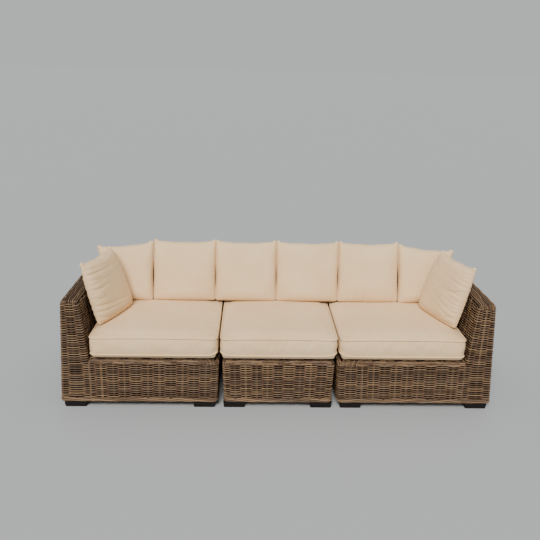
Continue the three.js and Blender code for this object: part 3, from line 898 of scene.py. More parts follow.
        # Painted shade: the core, hidden among the plies, is painted almost fully shaded.
        strands.add(core, rope.reach / strands.radius * 0.9, 0.95)
        for k in range(rope.ply):
            turn = 2 * math.pi * (fine / rope.stakes_per_turn + k / rope.ply)
            points = np.zeros((len(fine), 3))
            points[:, :2] = centre + facing * (np.cos(turn) * rope.reach)[:, None]
            points[:, 2] = rope.height + np.sin(turn) * rope.reach
            # Painted shade: each ply is darkened where it turns to the back of the rope.
            strands.add(points, rope.size, 0.30 - 0.30 * np.cos(turn))


@dataclass(frozen=True)
class Rope:
    """A twisted border: its height, how far its strands stand from its middle, and its twist."""

    height: float
    depth: float
    reach: float
    size: float
    stakes_per_turn: float
    ply: int = 5
    samples: int = 5


@dataclass(frozen=True)
class Roll:
    """A round of arches along the base's edge: its place, its shift in stakes and its thickness."""

    height: float
    depth: float
    shift: float
    size: float
    overlap: float = 0.16
    shortest: float = 0.25
    samples: int = 8
    sink: float = 0.0045
    rise: float = 0.0035
    corner_dip: float = 0.007
    dip_reach: float = 0.55


@functools.cache
def limits(node: str) -> tuple[Vector, Vector]:
    """Reads the low and high corners of a solid's box, once for each solid."""
    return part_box(node)


@dataclass(frozen=True)
class SofaSizes:
    """The woven shell's sizes in metres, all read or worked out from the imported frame."""

    seat_gap: float = 0.010
    border: float = 0.030
    border_proud: float = 0.004
    lean: float = 0.038
    side_taper: float = 0.012
    corner: float = 0.022
    wall_seat_width: float = 0.192
    wall_top_width: float = 0.110
    wall_edge: float = 0.018

    @property
    def floor_gap(self) -> float:
        """The height of the shell's lower edge, which is the feet's height."""
        return limits("left_front_apron")[0].z

    @property
    def seat(self) -> float:
        """The height of the base's top edge."""
        return limits("left_front_apron")[1].z

    @property
    def top(self) -> float:
        """The height of the walls."""
        return limits("left_arm_wall")[1].z

    @property
    def front(self) -> float:
        """The foremost line of the border."""
        return limits("left_front_apron")[0].y

    @property
    def front_face(self) -> float:
        """The front face above the border."""
        return self.front + self.border_proud

    @property
    def back(self) -> float:
        """The rearmost line of the border."""
        return limits("left_back_wall")[1].y

    @property
    def end(self) -> float:
        """Half of the sofa's length."""
        return -limits("left_arm_wall")[0].x

    @property
    def corner_inner(self) -> float:
        """The inner side of a corner seat, as a distance from the middle."""
        return self.half_middle + self.seat_gap

    @property
    def half_middle(self) -> float:
        """Half of the middle seat's length."""
        return limits("middle_front_apron")[1].x

    def outer_lean(self, z: float) -> float:
        """How far an outer face leans in at a height."""
        start = self.floor_gap + self.border
        return self.border_proud + self.lean * max(z - start, 0.0) / (self.top - start)

    def inner_reach(self, z: float) -> float:
        """Leans a wall's seat side in, from the seat up.

        Args:
            z: The height.

        Returns:
            How far in from the outer plane it stands there.
        """
        top_reach = self.border_proud + self.lean + self.wall_top_width
        share = max(z - self.seat, 0.0) / (self.top - self.seat)
        return self.wall_seat_width + (top_reach - self.wall_seat_width) * share

    def taper(self, z: float) -> float:
        """How far a side between two seats stands in at a height."""
        return self.border_proud + self.side_taper * max(self.seat - z, 0.0) / (self.seat - self.floor_gap)


SIZES = SofaSizes()
WEAVE = Weave()
BORDER_MIDDLE = SIZES.floor_gap + SIZES.border / 2
BORDER_TOP = SIZES.floor_gap + SIZES.border
BASE_TOP = SIZES.seat - 0.022
WALL_FOOT = SIZES.seat - 0.018
BOTTOM_ROPE = Rope(height=BORDER_MIDDLE, depth=0.0110, reach=0.0094, size=1.35, stakes_per_turn=8.5)
RIM_ROLLS = (
    Roll(height=0.3025, depth=0.0065, shift=0.0, size=1.45),
    Roll(height=0.3110, depth=0.0120, shift=0.5, size=1.35),
    Roll(height=0.3145, depth=0.0190, shift=0.0, size=1.25),
)
BASE_TOP_ROW = 0.2973
WALL_TOP_ROW = 0.6890
TIGHTEST_BEND = 0.004


@dataclass(frozen=True)
class Loops:
    """Upright loops over the base's edge: each point's place and shade, from the front to the inside."""

    heights: tuple[float, ...] = (0.2890, 0.2990, 0.3090, 0.3185, 0.3215, 0.3170)
    depths: tuple[float, ...] = (0.0050, -0.0005, 0.0010, 0.0065, 0.0150, 0.0230)
    shades: tuple[float, ...] = (0.6, 0.1, 0.0, 0.1, 0.4, 0.8)
    pitch: float = 0.115
    slant: float = 0.05
    size: float = 0.72


@dataclass(frozen=True)
class CapWeave:
    """The strands along a wall's top: their distance, swing, points and stakes, and how they end."""

    pitch: float = 0.0126
    swing: float = 0.0010
    step: float = 0.0185
    stake_pitch: float = 0.074
    drop: float = 0.024
    mitre: float = 0.048
    shortest_lead: float = 0.006


@dataclass(frozen=True)
class DeckWeave:
    """The plain weave of the panel under a seat cushion."""

    pitch: float = 0.0088
    stake_pitch: float = 0.072
    swing: float = 0.0050
    margin: float = 0.004


LOOPS = Loops()
CAP = CapWeave()
DECK = DeckWeave()


@dataclass(frozen=True)
class TopSheet:
    """The sheet of painted shade under a wall's top: the planes that it spans and its points between them.
    """

    across: tuple[str, str]
    columns: int
    along: tuple[str, str]
    rows: int


@dataclass
class WovenPart:
    """One woven piece: the counts that it takes of the base's ring and of the walls' ring."""

    node: str
    base: tuple[float, float]
    wall: tuple[float, float] | None = None
    top: TopSheet | None = None
    rim: bool = False
    wraps: tuple[float, float] | None = None


@dataclass
class WovenSeat:
    """The shell of one seat. Everything is laid out for the left-hand seat and mirrored for the right."""

    side: Side
    finishes: Finishes
    base_outline: ClassVar[Outline] = ()
    wall_outline: ClassVar[Outline] = ()
    rim_corners: ClassVar[tuple[float, ...]] = ()

    def __post_init__(self) -> None:
        """Names the seat's body and sets on which side it is laid out."""
        self.body = f"{self.side.value}_module"
        self.mirror = -1.0 if self.side is Side.RIGHT else 1.0

    def parts(self) -> list[WovenPart]:
        """The pieces of this seat."""
        raise NotImplementedError

    def cap(self, part: WovenPart, strands: Strands) -> None:
        """Weaves the top of a wall."""
        raise NotImplementedError

    def planes(self, z: float, depth: float) -> dict[str, float]:
        """Places the faces that every seat has, at a height and a depth behind each face.

        Args:
            z: The height.
            depth: The distance behind each face.

        Returns:
            The planes by name.
        """
        return {
            "front": SIZES.front_face + depth,
            "back": SIZES.back - SIZES.outer_lean(z) - depth,
            "rest": SIZES.back - SIZES.inner_reach(z) + depth,
        }

    def run_finder(self, outline: Outline, span: tuple[float, float]) -> RunAt:
        """Gives a piece's run round an outline.

        Args:
            outline: The outline, with the outside on its left.
            span: The stake counts between which the piece runs.

        Returns:
            A function of height and depth.
        """

        def run_at(z: float, depth: float) -> Run:
            """Rounds the outline's corners and cuts out the piece's stretch.

            Args:
                z: The height.
                depth: The distance behind each face.

            Returns:
                The run there.
            """
            p = self.planes(z, depth)
            corners = [Corner(p[across], p[along], count) for across, along, count in outline]
            radius = max(SIZES.corner - depth, TIGHTEST_BEND)
            return rounded_run(corners, radius, WEAVE.samples).between(*span)

        return run_at

    def top_sheet(self, top: TopSheet) -> bpy.types.Object:
        """Makes the sheet of painted shade under a wall's top.

        Args:
            top: The planes that it spans.

        Returns:
            The sheet.
        """
        z = SIZES.top - WEAVE.shade_sheet_depth
        p = self.planes(z, WEAVE.shade_sheet_depth)
        xs = np.linspace(p[top.across[0]], p[top.across[1]], top.columns)
        ys = np.linspace(p[top.along[0]], p[top.along[1]], top.rows)
        grid = np.array([[[x, y, z] for x in xs] for y in ys])
        return sheet_from("cap_shade_sheet", grid, WEAVE.shade_sheet_thickness)

    def build(self) -> None:
        """Weaves every piece of the seat."""
        for index, part in enumerate(self.parts()):
            self.build_part(part, index)
        self.build_deck()

    def build_part(self, part: WovenPart, index: int) -> None:
        """Weaves one piece.

        Args:
            part: The piece.
            index: Its place in the seat's list, which seeds its random draws.
        """
        seed = 100 * (1 + list(Side).index(self.side)) + index
        strands = Strands(seed, self.mirror)
        run_at = self.run_finder(self.base_outline, part.base)
        WEAVE.rows(strands, run_at, WEAVE.first_row, BASE_TOP_ROW)
        WEAVE.rope(strands, run_at(BOTTOM_ROPE.height, BOTTOM_ROPE.depth), BOTTOM_ROPE)
        if part.rim:
            WEAVE.scallops(strands, run_at, *part.base, self.rim_corners)
        if part.wraps:
            self.wrap_rim(strands, run_at, *part.wraps)
        levels = [BORDER_MIDDLE, BORDER_TOP, 0.5 * (BORDER_MIDDLE + BASE_TOP), BASE_TOP]
        WEAVE.stakes(strands, run_at, levels, *part.base)
        shade_sheets = [WEAVE.shade_sheet(run_at, [BORDER_MIDDLE, BORDER_TOP, BASE_TOP])]
        if part.wall:
            run_at = self.run_finder(self.wall_outline, part.wall)
            WEAVE.rows(strands, run_at, BASE_TOP_ROW + WEAVE.pitch * 0.9, WALL_TOP_ROW)
            levels = [WALL_FOOT, 0.5 * (SIZES.seat + SIZES.top), SIZES.top - SIZES.wall_edge]
            WEAVE.stakes(strands, run_at, levels, *part.wall)
            shade_sheets.append(WEAVE.shade_sheet(run_at, [levels[0], SIZES.top - WEAVE.shade_sheet_depth]))
            self.cap(part, strands)
            shade_sheets.append(self.top_sheet(part.top))
        obj = strands.build(f"{part.node}_weave")
        obj.data.materials.append(self.finishes.strand)
        for sheet in shade_sheets:
            points = read_points(sheet)
            points[:, 0] *= self.mirror
            write_points(sheet, points)
            # Painted shade: the sheets behind and under the weave are near black.
            sheet.data.materials.append(self.finishes.shade_sheet)
        joined(obj, shade_sheets)
        if self.mirror < 0:
            face_out(obj)
        dress(obj, self.body, [part.node])

    @staticmethod
    def wrap_rim(strands: Strands, run_at: RunAt, first: float, last: float) -> None:
        """Binds a stretch of the base's edge with short upright loops.

        Args:
            strands: Where the strands go.
            run_at: Gives the base's run at a height and a depth.
            first: The count of the first loop.
            last: The count of the last loop.
        """
        loops = round((last - first) / LOOPS.pitch)
        for k in range(loops + 1):
            count = first + (last - first) * k / loops
            lean = LOOPS.slant * (k / loops - 0.5)
            points = []
            for step, (height, depth) in enumerate(zip(LOOPS.heights, LOOPS.depths)):
                x, y = run_at(height, depth).at(np.array([count + lean * step]))[0]
                points.append([x, y, height])
            strands.add(np.array(points), LOOPS.size, np.array(LOOPS.shades))

    def build_deck(self) -> None:
        """Weaves the panel under the seat cushion."""
        node = f"{self.side.value}_seat_deck"
        low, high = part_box(node)
        strands = Strands(900 + len(self.side.value))
        left, front = low.x + DECK.margin, low.y + DECK.margin
        width = high.x - low.x - 2 * DECK.margin
        middle = (low.z + high.z) / 2
        stakes = round((high.x - low.x) / DECK.stake_pitch)
        counts = np.linspace(0.0, stakes, stakes * 3 + 1)
        across = left + width * counts / stakes
        for k in range(math.floor((high.y - low.y - 2 * DECK.margin) / DECK.pitch)):
            wave = np.cos(math.pi * (counts + k))
            along = np.full(len(counts), front + DECK.pitch * (k + 0.5))
            points = np.column_stack([across, along, middle + wave * DECK.swing])
            # Painted shade: each row is darkened where it passes under a stake.
            strands.add(points, 0.97 + 0.08 * (strands.random.random() - 0.5), 0.5 - 0.5 * wave)
        for k in range(stakes + 1):
            x = left + width * k / stakes
            ends = np.array([[x, front, middle], [x, high.y - DECK.margin, middle]])
            # The stakes take a fixed share of painted shade.
            strands.add(ends, 0.95, 0.4)
        obj = strands.build(f"{node}_weave", 4)
        obj.data.materials.append(self.finishes.strand)
        dress(obj, self.body, [node])


@dataclass(frozen=True)
class CapLine:
    """One strand along the top of a wall: how far in from the outer plane, how high, and its tilt."""

    inset: float
    z: float
    tilt: float
    number: int


def cap_lines() -> list[CapLine]:
    """Spreads strands over the rounded top of a wall, from its outer edge to its inner edge.

    Returns:
        The strands' places.
    """
    bend = SIZES.wall_edge - WEAVE.middle
    outer = SIZES.outer_lean(SIZES.top) + WEAVE.middle
    inner = SIZES.inner_reach(SIZES.top) - WEAVE.middle
    crest = SIZES.top - WEAVE.middle
    flat = inner - outer - 2 * bend
    quarter = math.pi / 2 * bend
    total = flat + 2 * quarter
    count = round(total / CAP.pitch)
    lines = []
    for k in range(count + 1):
        place = total * k / count
        if quarter <= place <= quarter + flat:
            lines.append(CapLine(outer + bend + place - quarter, crest, math.pi / 2, k))
            continue
        is_outer = place < quarter
        turn = place / bend if is_outer else math.pi / 2 - (place - quarter - flat) / bend
        step = bend * (1 - math.cos(turn))
        inset = outer + step if is_outer else inner - step
        lines.append(CapLine(inset, crest - bend * (1 - math.sin(turn)), turn, k))
    return lines


def over_edge(line: Numbers, up: Numbers, ahead: Numbers) -> tuple[Numbers, Numbers]:
    """Bends the end of a top strand down over an edge.

    Args:
        line: The strand's last point before the bend.
        up: The way out of the top.
        ahead: The way that the strand was going.

    Returns:
        The added points and the way out of the face at each.
    """
    bend = SIZES.wall_edge - WEAVE.middle
    centre = line - up * bend
    points, facing = [], []
    for k in range(1, 5):
        turn = math.pi / 2 * k / 4
        out = up * math.cos(turn) + ahead * math.sin(turn)
        points.append(centre + out * bend)
        facing.append(out)
    points.append(centre + ahead * bend - up * CAP.drop)
    facing.append(ahead)
    return np.array(points), np.array(facing)


class CornerSeat(WovenSeat):
    """A corner seat: base, arm wall at its outer end and back wall."""

    base_outline = (
        ("join", "front", 0.0),
        ("outer", "front", 2.0),
        ("outer", "back", 14.0),
        ("side", "back", 27.0),
        ("side", "front", 39.0),
        ("join", "front", 50.0),
    )
    wall_outline = (
        ("arm", "rest", -10.0),
        ("arm", "front", 0.0),
        ("outer", "front", 2.0),
        ("outer", "back", 14.0),
        ("side", "back", 27.0),
        ("side", "rest", 29.0),
        ("arm", "rest", 40.0),
    )
    rim_corners = (39.0,)

    def planes(self, z: float, depth: float) -> dict[str, float]:
        """Adds the outer end, the arm's seat side, its join with the apron, and the inner side.

        Args:
            z: The height.
            depth: The distance behind each face.

        Returns:
            The planes by name.
        """
        own = {
            "join": -SIZES.end + SIZES.wall_seat_width,
            "outer": -SIZES.end + SIZES.outer_lean(z) + depth,
            "side": -SIZES.corner_inner - SIZES.taper(z) - depth,
            "arm": -SIZES.end + SIZES.inner_reach(z) - depth,
        }
        return super().planes(z, depth) | own

    def parts(self) -> list[WovenPart]:
        """Lists the pieces of a corner seat.

        Returns:
            Two walls that meet at a seam, and two aprons.
        """
        seam = 13.4
        side = self.side.value
        arm_top = TopSheet(("outer", "arm"), 3, ("front", "back"), 6)
        back_top = TopSheet(("outer", "side"), 6, ("rest", "back"), 3)
        return [
            WovenPart(f"{side}_arm_wall", (0.0, seam), (-10.0, seam), arm_top),
            WovenPart(f"{side}_back_wall", (seam, 27.4), (seam, 40.0), back_top),
            WovenPart(f"{side}_side_apron", (27.4, 38.6), rim=True),
            WovenPart(f"{side}_front_apron", (38.6, 50.0), rim=True, wraps=(39.25, 40.55)),
        ]

    def cap(self, part: WovenPart, strands: Strands) -> None:
        """Weaves the top of the arm wall or of the back wall.

        Args:
            part: The wall.
            strands: Where the strands go.
        """
        is_arm = part.node.endswith("arm_wall")
        seam_y = SIZES.back - SIZES.outer_lean(SIZES.top) - CAP.mitre
        for line in cap_lines():
            x = -SIZES.end + line.inset
            y = SIZES.back - line.inset
            up = np.array([-math.cos(line.tilt), 0.0, math.sin(line.tilt)])
            if line.inset > SIZES.inner_reach(SIZES.top) - SIZES.wall_edge:
                up[0] = -up[0]
            if is_arm:
                start = np.array([x, min(seam_y, y), line.z])
                end = np.array([x, SIZES.front_face + SIZES.wall_edge, line.z])
                self._lay(strands, start, end, up, line.number)
            else:
                self._lay_rear(strands, x, y, seam_y, line, up)

    def _lay(self, strands: Strands, start: Numbers, end: Numbers, up: Numbers, number: int) -> None:
        """Lays one strand along a wall's top and down over its end.

        Args:
            strands: Where the strands go.
            start: Where it starts.
            end: Where it bends down.
            up: The way out of the top.
            number: Its number, which sets whether it starts over or under.
        """
        span = end - start
        length = float(np.linalg.norm(span))
        ahead = span / length
        steps = max(2, round(length / CAP.step))
        counts = np.linspace(0.0, length / CAP.stake_pitch, steps + 1)
        points = start + np.outer(np.linspace(0, 1, steps + 1), span)
        wave = np.cos(math.pi * (counts + number))
        bent, facing = over_edge(points[-1], up, ahead)
        fade = np.cos(math.pi * (counts[-1] + number)) * np.array([0.9, 0.7, 0.5, 0.4, 0.3])
        bent = bent + facing * (fade * CAP.swing)[:, None]
        line = np.concatenate([points + np.outer(wave * CAP.swing, up), bent])
        # Painted shade: darker where the strand dips under a stake, fading out over the bend.
        depth = np.concatenate([0.12 - 0.12 * wave, 0.15 - 0.15 * fade])
        strands.add_spliced(line, 1.08, depth)

    def _lay_rear(
        self, strands: Strands, x: float, y: float, seam_y: float, line: CapLine, arm_up: Numbers
    ) -> None:
        """Lays one strand along the back wall's top, starting round the rear corner.

        Args:
            strands: Where the strands go.
            x: Its distance along the arm.
            y: Its distance along the back.
            seam_y: Where the arm's strands end.
            line: Its place across the top.
            arm_up: The way out of the arm's top, which is turned for the back.
        """
        up = np.array([0.0, -arm_up[0], arm_up[2]])
        end_x = -SIZES.corner_inner - SIZES.taper(SIZES.top) - SIZES.wall_edge
        self._lay(strands, np.array([x, y, line.z]), np.array([end_x, y, line.z]), up, line.number)
        if y - seam_y > CAP.shortest_lead:
            lead = np.array([[x, seam_y, line.z], [x, y, line.z]])
            # The lead takes a fixed share of painted shade.
            strands.add(lead, 0.98, 0.4)


class MiddleSeat(WovenSeat):
    """The armless seat: base and back wall."""

    base_outline = (
        ("left", "front", 0.0),
        ("left", "back", 12.0),
        ("right", "back", 22.0),
        ("right", "front", 34.0),
        ("left", "front", 44.0),
        ("left", "back", 56.0),
    )
    wall_outline = (
        ("centre", "rest", 5.0),
        ("left", "rest", 10.0),
        ("left", "back", 12.0),
        ("right", "back", 22.0),
        ("right", "rest", 24.0),
        ("centre", "rest", 29.0),
    )
    rim_corners = (0.0, 34.0, 44.0)

    def planes(self, z: float, depth: float) -> dict[str, float]:
        """Adds both sides, and the middle where the back wall's outline starts."""
        side = SIZES.half_middle + SIZES.border_proud - SIZES.taper(z) - depth
        return super().planes(z, depth) | {"left": -side, "right": side, "centre": 0.0}

    def parts(self) -> list[WovenPart]:
        """Lists the pieces of the middle seat.

        Returns:
            One wall and three aprons.
        """
        top = TopSheet(("left", "right"), 5, ("rest", "back"), 3)
        return [
            WovenPart("middle_back_wall", (11.6, 22.4), (5.0, 29.0), top),
            WovenPart("middle_left_apron", (0.4, 11.6), rim=True),
            WovenPart("middle_right_apron", (22.4, 33.6), rim=True),
            WovenPart("middle_front_apron", (33.6, 44.4), rim=True),
        ]

    def cap(self, part: WovenPart, strands: Strands) -> None:
        """Weaves the back wall's top, bent down over both ends.

        Args:
            part: The wall, of which this seat has only one; not used.
            strands: Where the strands go.
        """
        edge = SIZES.half_middle + SIZES.border_proud - SIZES.taper(SIZES.top) - SIZES.wall_edge
        for line in cap_lines():
            y = SIZES.back - line.inset
            up = np.array([0.0, math.cos(line.tilt), math.sin(line.tilt)])
            if line.inset > SIZES.inner_reach(SIZES.top) - SIZES.wall_edge:
                up[1] = -up[1]
            steps = round(2 * edge / CAP.step)
            counts = np.linspace(0.0, 2 * edge / CAP.stake_pitch, steps + 1)
            spine = np.column_stack(
                [np.linspace(-edge, edge, steps + 1), np.full(steps + 1, y), np.full(steps + 1, line.z)]
            )
            wave = np.cos(math.pi * (counts + line.number))
            left, left_out = over_edge(spine[0], up, np.array([-1.0, 0.0, 0.0]))
            right, right_out = over_edge(spine[-1], up, np.array([1.0, 0.0, 0.0]))
            shape = np.concatenate(
                [
                    (left + left_out * wave[0] * CAP.swing * 0.5)[::-1],
                    spine + np.outer(wave * CAP.swing, up),
                    right + right_out * wave[-1] * CAP.swing * 0.5,
                ]
            )
            # Painted shade: darker where the strand dips under a stake, with a fixed share over both ends.
            depth = np.concatenate([np.full(len(left), 0.2), 0.25 - 0.25 * wave, np.full(len(right), 0.2)])
            strands.add_spliced(shape, 1.12, depth)


# Cushions


@dataclass(frozen=True)
class Filling:
    """How a cover is filled: the simulation's pressure, spare cloth and its cap on movement."""

    pressure: float
    spare_cloth: float
    cap: float
    stiffness: float = 12.0
    bending: float = 0.4
    frames: int = 18


RIM = 0.999


def on_rim(flat: Numbers) -> Numbers:
    """Tells which points of a flat bag lie on its outline."""
    return np.abs(flat[:, :2]).max(axis=1) > RIM


def bag(name: str, columns: int, rows: int) -> bpy.types.Object:
    """Makes a flat closed bag: a grid, extruded once, whose faces point out.

    Args:
        name: The bag's name.
        columns: Cells across.
        rows: Cells up.

    Returns:
        The bag, from -1 to 1 across and up, its front at 1 and its rear at -1.
    """
    bpy.ops.object.select_all(action="DESELECT")
    bpy.ops.mesh.primitive_grid_add(x_subdivisions=columns, y_subdivisions=rows, size=2, location=(0, 0, 1))
    made = bpy.context.view_layer.objects.active
    made.name = name
    bpy.ops.object.transform_apply(location=True, rotation=False, scale=False)
    edit_all(made, lambda: bpy.ops.mesh.extrude_region_move(TRANSFORM_OT_translate={"value": (0, 0, -2)}))
    return made


def fill_cover(obj: bpy.types.Object, filling: Filling, held: Numbers) -> None:
    """Blows a cover up with a short cloth simulation and caps how far each point moves.

    Args:
        obj: The cover.
        filling: The simulation's values.
        held: How firmly each vertex is held, from 0 to 1.
    """
    rest = read_points(obj)
    group = obj.vertex_groups.new(name="held")
    for index in np.nonzero(held > 0)[0]:
        group.add([int(index)], float(held[index]), "REPLACE")
    cloth = obj.modifiers.new("Cloth", "CLOTH")
    settings = cloth.settings
    settings.quality = 5
    settings.mass = 0.25
    settings.tension_stiffness = filling.stiffness
    settings.compression_stiffness = filling.stiffness
    settings.shear_stiffness = filling.stiffness * 0.4
    settings.bending_stiffness = filling.bending
    settings.use_pressure = True
    settings.uniform_pressure_force = filling.pressure
    settings.vertex_group_mass = group.name
    settings.pin_stiffness = 1.0
    settings.shrink_min = -filling.spare_cloth
    settings.effector_weights.gravity = 0.0
    cloth.collision_settings.use_collision = False
    cloth.point_cache.frame_start = 1
    cloth.point_cache.frame_end = filling.frames
    scene = bpy.context.scene
    for number in range(1, filling.frames + 1):
        scene.frame_set(number)
    apply_modifier(obj, cloth)
    scene.frame_set(1)
    moved = read_points(obj) - rest
    reach = np.linalg.norm(moved, axis=1)
    share = np.minimum(1.0, filling.cap / np.maximum(reach, 1e-9))
    write_points(obj, rest + moved * share[:, None])
    obj.vertex_groups.clear()


def smooth_finish(obj: bpy.types.Object) -> None:
    """Subdivides a cushion once and shades it smooth.

    Args:
        obj: The cushion.
    """
    finer = obj.modifiers.new("finer", "SUBSURF")
    finer.levels = 1
    finer.render_levels = 1
    apply_modifier(obj, finer)
    bpy.ops.object.shade_smooth()


def piping(name: str, lines: Sequence[Numbers], radius: float, finishes: Finishes) -> bpy.types.Object:
    """Makes closed rounds of piping along seams.

    Args:
        name: The piece's name.
        lines: Closed lines of points.
        radius: The piping's radius.
        finishes: The sofa's materials.

    Returns:
        The piping.
    """
    obj = tubes(name, radius, 2, lines)
    bpy.ops.object.shade_smooth()
    write_attribute(obj, "cloth", read_points(obj))
    obj.data.materials.append(finishes.cotton)
    return obj


@dataclass
class SeatCushion:
    """A boxed seat cushion: crowned top and underside, and boxing between two piped seams."""

    side: Side
    finishes: Finishes
    corner: float = 0.036
    boxing: float = 0.106
    low_seam: float = 0.026
    crown: float = 0.022
    front_lift: float = 0.006
    corner_lift: float = 0.013
    cell: float = 0.015
    boxing_rows: int = 7
    piping_radius: float = 0.0044
    piping_proud: float = 0.0020
    margin: float = 0.003
    crown_softness: float = 0.45
    under_flatness: int = 44
    bulge: float = 0.004
    ripple: float = 0.0011
    filling: Filling = Filling(pressure=2.0, spare_cloth=0.012, cap=0.012)

    def __post_init__(self) -> None:
        """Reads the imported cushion's place and size."""
        self.node = f"{self.side.value}_seat_cushion"
        low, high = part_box(self.node)
        self.floor = low.z
        self.half_x = (high.x - low.x) / 2 - self.margin
        self.half_y = (high.y - low.y) / 2 - self.margin
        self.middle_x = (high.x + low.x) / 2
        self.middle_y = (high.y + low.y) / 2

    def build(self) -> None:
        """Builds the cushion and its piping."""
        body = f"{self.side.value}_seat"
        columns = round(2 * self.half_x / self.cell)
        rows = round(2 * self.half_y / self.cell)
        obj = bag(f"{self.node}_cover", columns, rows)
        self._cut_boxing(obj)
        flat = read_points(obj)
        write_points(obj, self._shaped(flat))
        write_attribute(obj, "cloth", self._cloth(flat))
        at_seam = on_rim(flat) & (np.abs(np.abs(flat[:, 2]) - 1.0) < 1e-4)
        fill_cover(obj, self.filling, np.where(at_seam | (flat[:, 2] < -RIM), 1.0, 0.0))
        self._ripple(obj, flat)
        rim_lines = [self._rim_line(obj, flat, level) for level in (1.0, -1.0)]
        obj.data.materials.append(self.finishes.cotton)
        smooth_finish(obj)
        dress(obj, body, [self.node])
        trim = piping(f"{self.node}_piping", rim_lines, self.piping_radius, self.finishes)
        dress(trim, body)

    def _cut_boxing(self, obj: bpy.types.Object) -> None:
        """Cuts the boxing's single strip of faces into rows and turns every face outwards.

        Args:
            obj: The bag.
        """
        mesh = obj.data
        for polygon in mesh.polygons:
            polygon.select = False
        for vertex in mesh.vertices:
            vertex.select = False
        for edge in mesh.edges:
            a, b = (mesh.vertices[i].co for i in edge.vertices)
            edge.select = abs(a.z - b.z) > 1.0
        select_only(obj)
        bpy.ops.object.mode_set(mode="EDIT")
        bpy.ops.mesh.select_mode(type="EDGE")
        bpy.ops.mesh.subdivide(number_cuts=self.boxing_rows - 1, smoothness=0.0)
        bpy.ops.mesh.select_all(action="SELECT")
        bpy.ops.mesh.normals_make_consistent(inside=False)
        bpy.ops.object.mode_set(mode="OBJECT")

    def _plan(self, flat: Numbers) -> Numbers:
        """Places the bag's points on the cushion's rounded outline.

        Args:
            flat: The flat bag's points.

        Returns:
            Two numbers for each point, measured from the cushion's middle.
        """
        inner = np.array([self.half_x - self.corner, self.half_y - self.corner])
        size = np.abs(flat[:, :2])
        crowded = np.sign(flat[:, :2]) * (size + 0.75 * (1 - size) * size**8)
        spread = np.where(flat[:, 2:] < -RIM, crowded, flat[:, :2]) * np.array([self.half_x, self.half_y])
        over = np.maximum(np.abs(spread) - inner, 0.0) / self.corner
        both = (over > 0).all(axis=1)
        bent = over * np.sqrt(1 - 0.5 * over[:, ::-1] ** 2)
        return np.where(both[:, None], np.sign(spread) * (inner + bent * self.corner), spread)

    def _shaped(self, flat: Numbers) -> Numbers:
        """Gives the flat bag the cushion's own shape.

        Args:
            flat: The flat bag's points.

        Returns:
            The shaped points.
        """
        plan = self._plan(flat)
        s, t, level = flat[:, 0], flat[:, 1], flat[:, 2]
        rise = ((1 - s**2) * (1 - t**2)).clip(0, 1) ** self.crown_softness
        joints = {Side.LEFT: (1,), Side.MIDDLE: (-1, 1), Side.RIGHT: (-1,)}[self.side]
        lift = sum(((side * s - 0.72) / 0.28).clip(0, 1) ** 2 for side in joints) * self.corner_lift
        bottom_seam = self.floor + self.low_seam + lift
        top_seam = self.floor + self.low_seam + self.boxing
        z = bottom_seam + (level + 1) / 2 * (top_seam - bottom_seam)
        top = level > RIM
        under = level < -RIM
        soft_rise = (1 - np.maximum(np.abs(s), np.abs(t)) ** self.under_flatness).clip(0, 1)
        z = np.where(top, top_seam + self.crown * rise, z)
        z = np.where(under, bottom_seam - (self.low_seam + lift - 0.001) * soft_rise, z)
        z += self.front_lift * (1 - s**2) * np.clip(-t, 0, 1) ** 2 * (level + 1) / 2
        bulge = self.bulge * (1 - level**2)
        size = np.linalg.norm(plan, axis=1)
        swollen = plan * (1 + bulge / np.maximum(size, 1e-6))[:, None]
        plan = np.where((on_rim(flat) & ~top & ~under)[:, None], swollen, plan)
        return np.column_stack([plan[:, 0] + self.middle_x, plan[:, 1] + self.middle_y, z])

    def _ripple(self, obj: bpy.types.Object, flat: Numbers) -> None:
        """Slackens the boxing a little, so that it isn't a flat board.

        Args:
            obj: The filled cushion.
            flat: The flat bag's points.
        """
        s, t, level = flat[:, 0], flat[:, 1], flat[:, 2]
        on_boxing = on_rim(flat) & (np.abs(level) < RIM)
        along = s * self.half_x + t * self.half_y + self.middle_x
        fold = np.sin(along * 23 + level * 2.6) + 0.7 * np.sin(along * 41 - level * 3.1 + 1.3)
        push = np.where(on_boxing, self.ripple * fold * (1 - level**2), 0.0)
        out = np.where(np.abs(flat) > RIM, flat, 0.0) * np.array([1.0, 1.0, 0.0])
        write_points(obj, read_points(obj) + out * push[:, None])

    def _cloth(self, flat: Numbers) -> Numbers:
        """Measures the flat cloth in metres, for its weave."""
        size = np.array([self.half_x, self.half_y, self.boxing / 2])
        return flat * size + np.array([self.middle_x, 0.0, 0.0])

    def _rim_line(self, obj: bpy.types.Object, flat: Numbers, level: float) -> Numbers:
        """Follows a seam once round the cushion.

        Args:
            obj: The filled cushion, before it is subdivided.
            flat: The flat bag's points.
            level: 1 for the upper seam and -1 for the lower.

        Returns:
            The seam's points in order, a little proud of the cover.
        """
        rim = np.nonzero(on_rim(flat) & (np.abs(flat[:, 2] - level) < 1e-4))[0]
        points = read_points(obj)[rim]
        centre = np.array([self.middle_x, self.middle_y])
        angle = np.arctan2(flat[rim, 1], flat[rim, 0])
        ordered = points[np.argsort(angle)]
        away = ordered[:, :2] - centre
        away /= np.linalg.norm(away, axis=1)[:, None]
        ordered[:, :2] += away * self.piping_proud
        return ordered


# Half the size, in metres, of a flat loose bag while its doubled points are merged.
BAG_SIZE = np.array([0.2, 0.2, 0.02])


class Edge(Enum):
    """The edges of a loose cushion, as seen from its front."""

    FOOT = 0
    RIGHT = 1
    HEAD = 2
    LEFT = 3


@dataclass(frozen=True)
class Tucks:
    """Tucks pressed into a cover beside its seam, in shares of half a cushion but for their depth."""

    depth: float
    reach: float
    width: float
    spacing: float


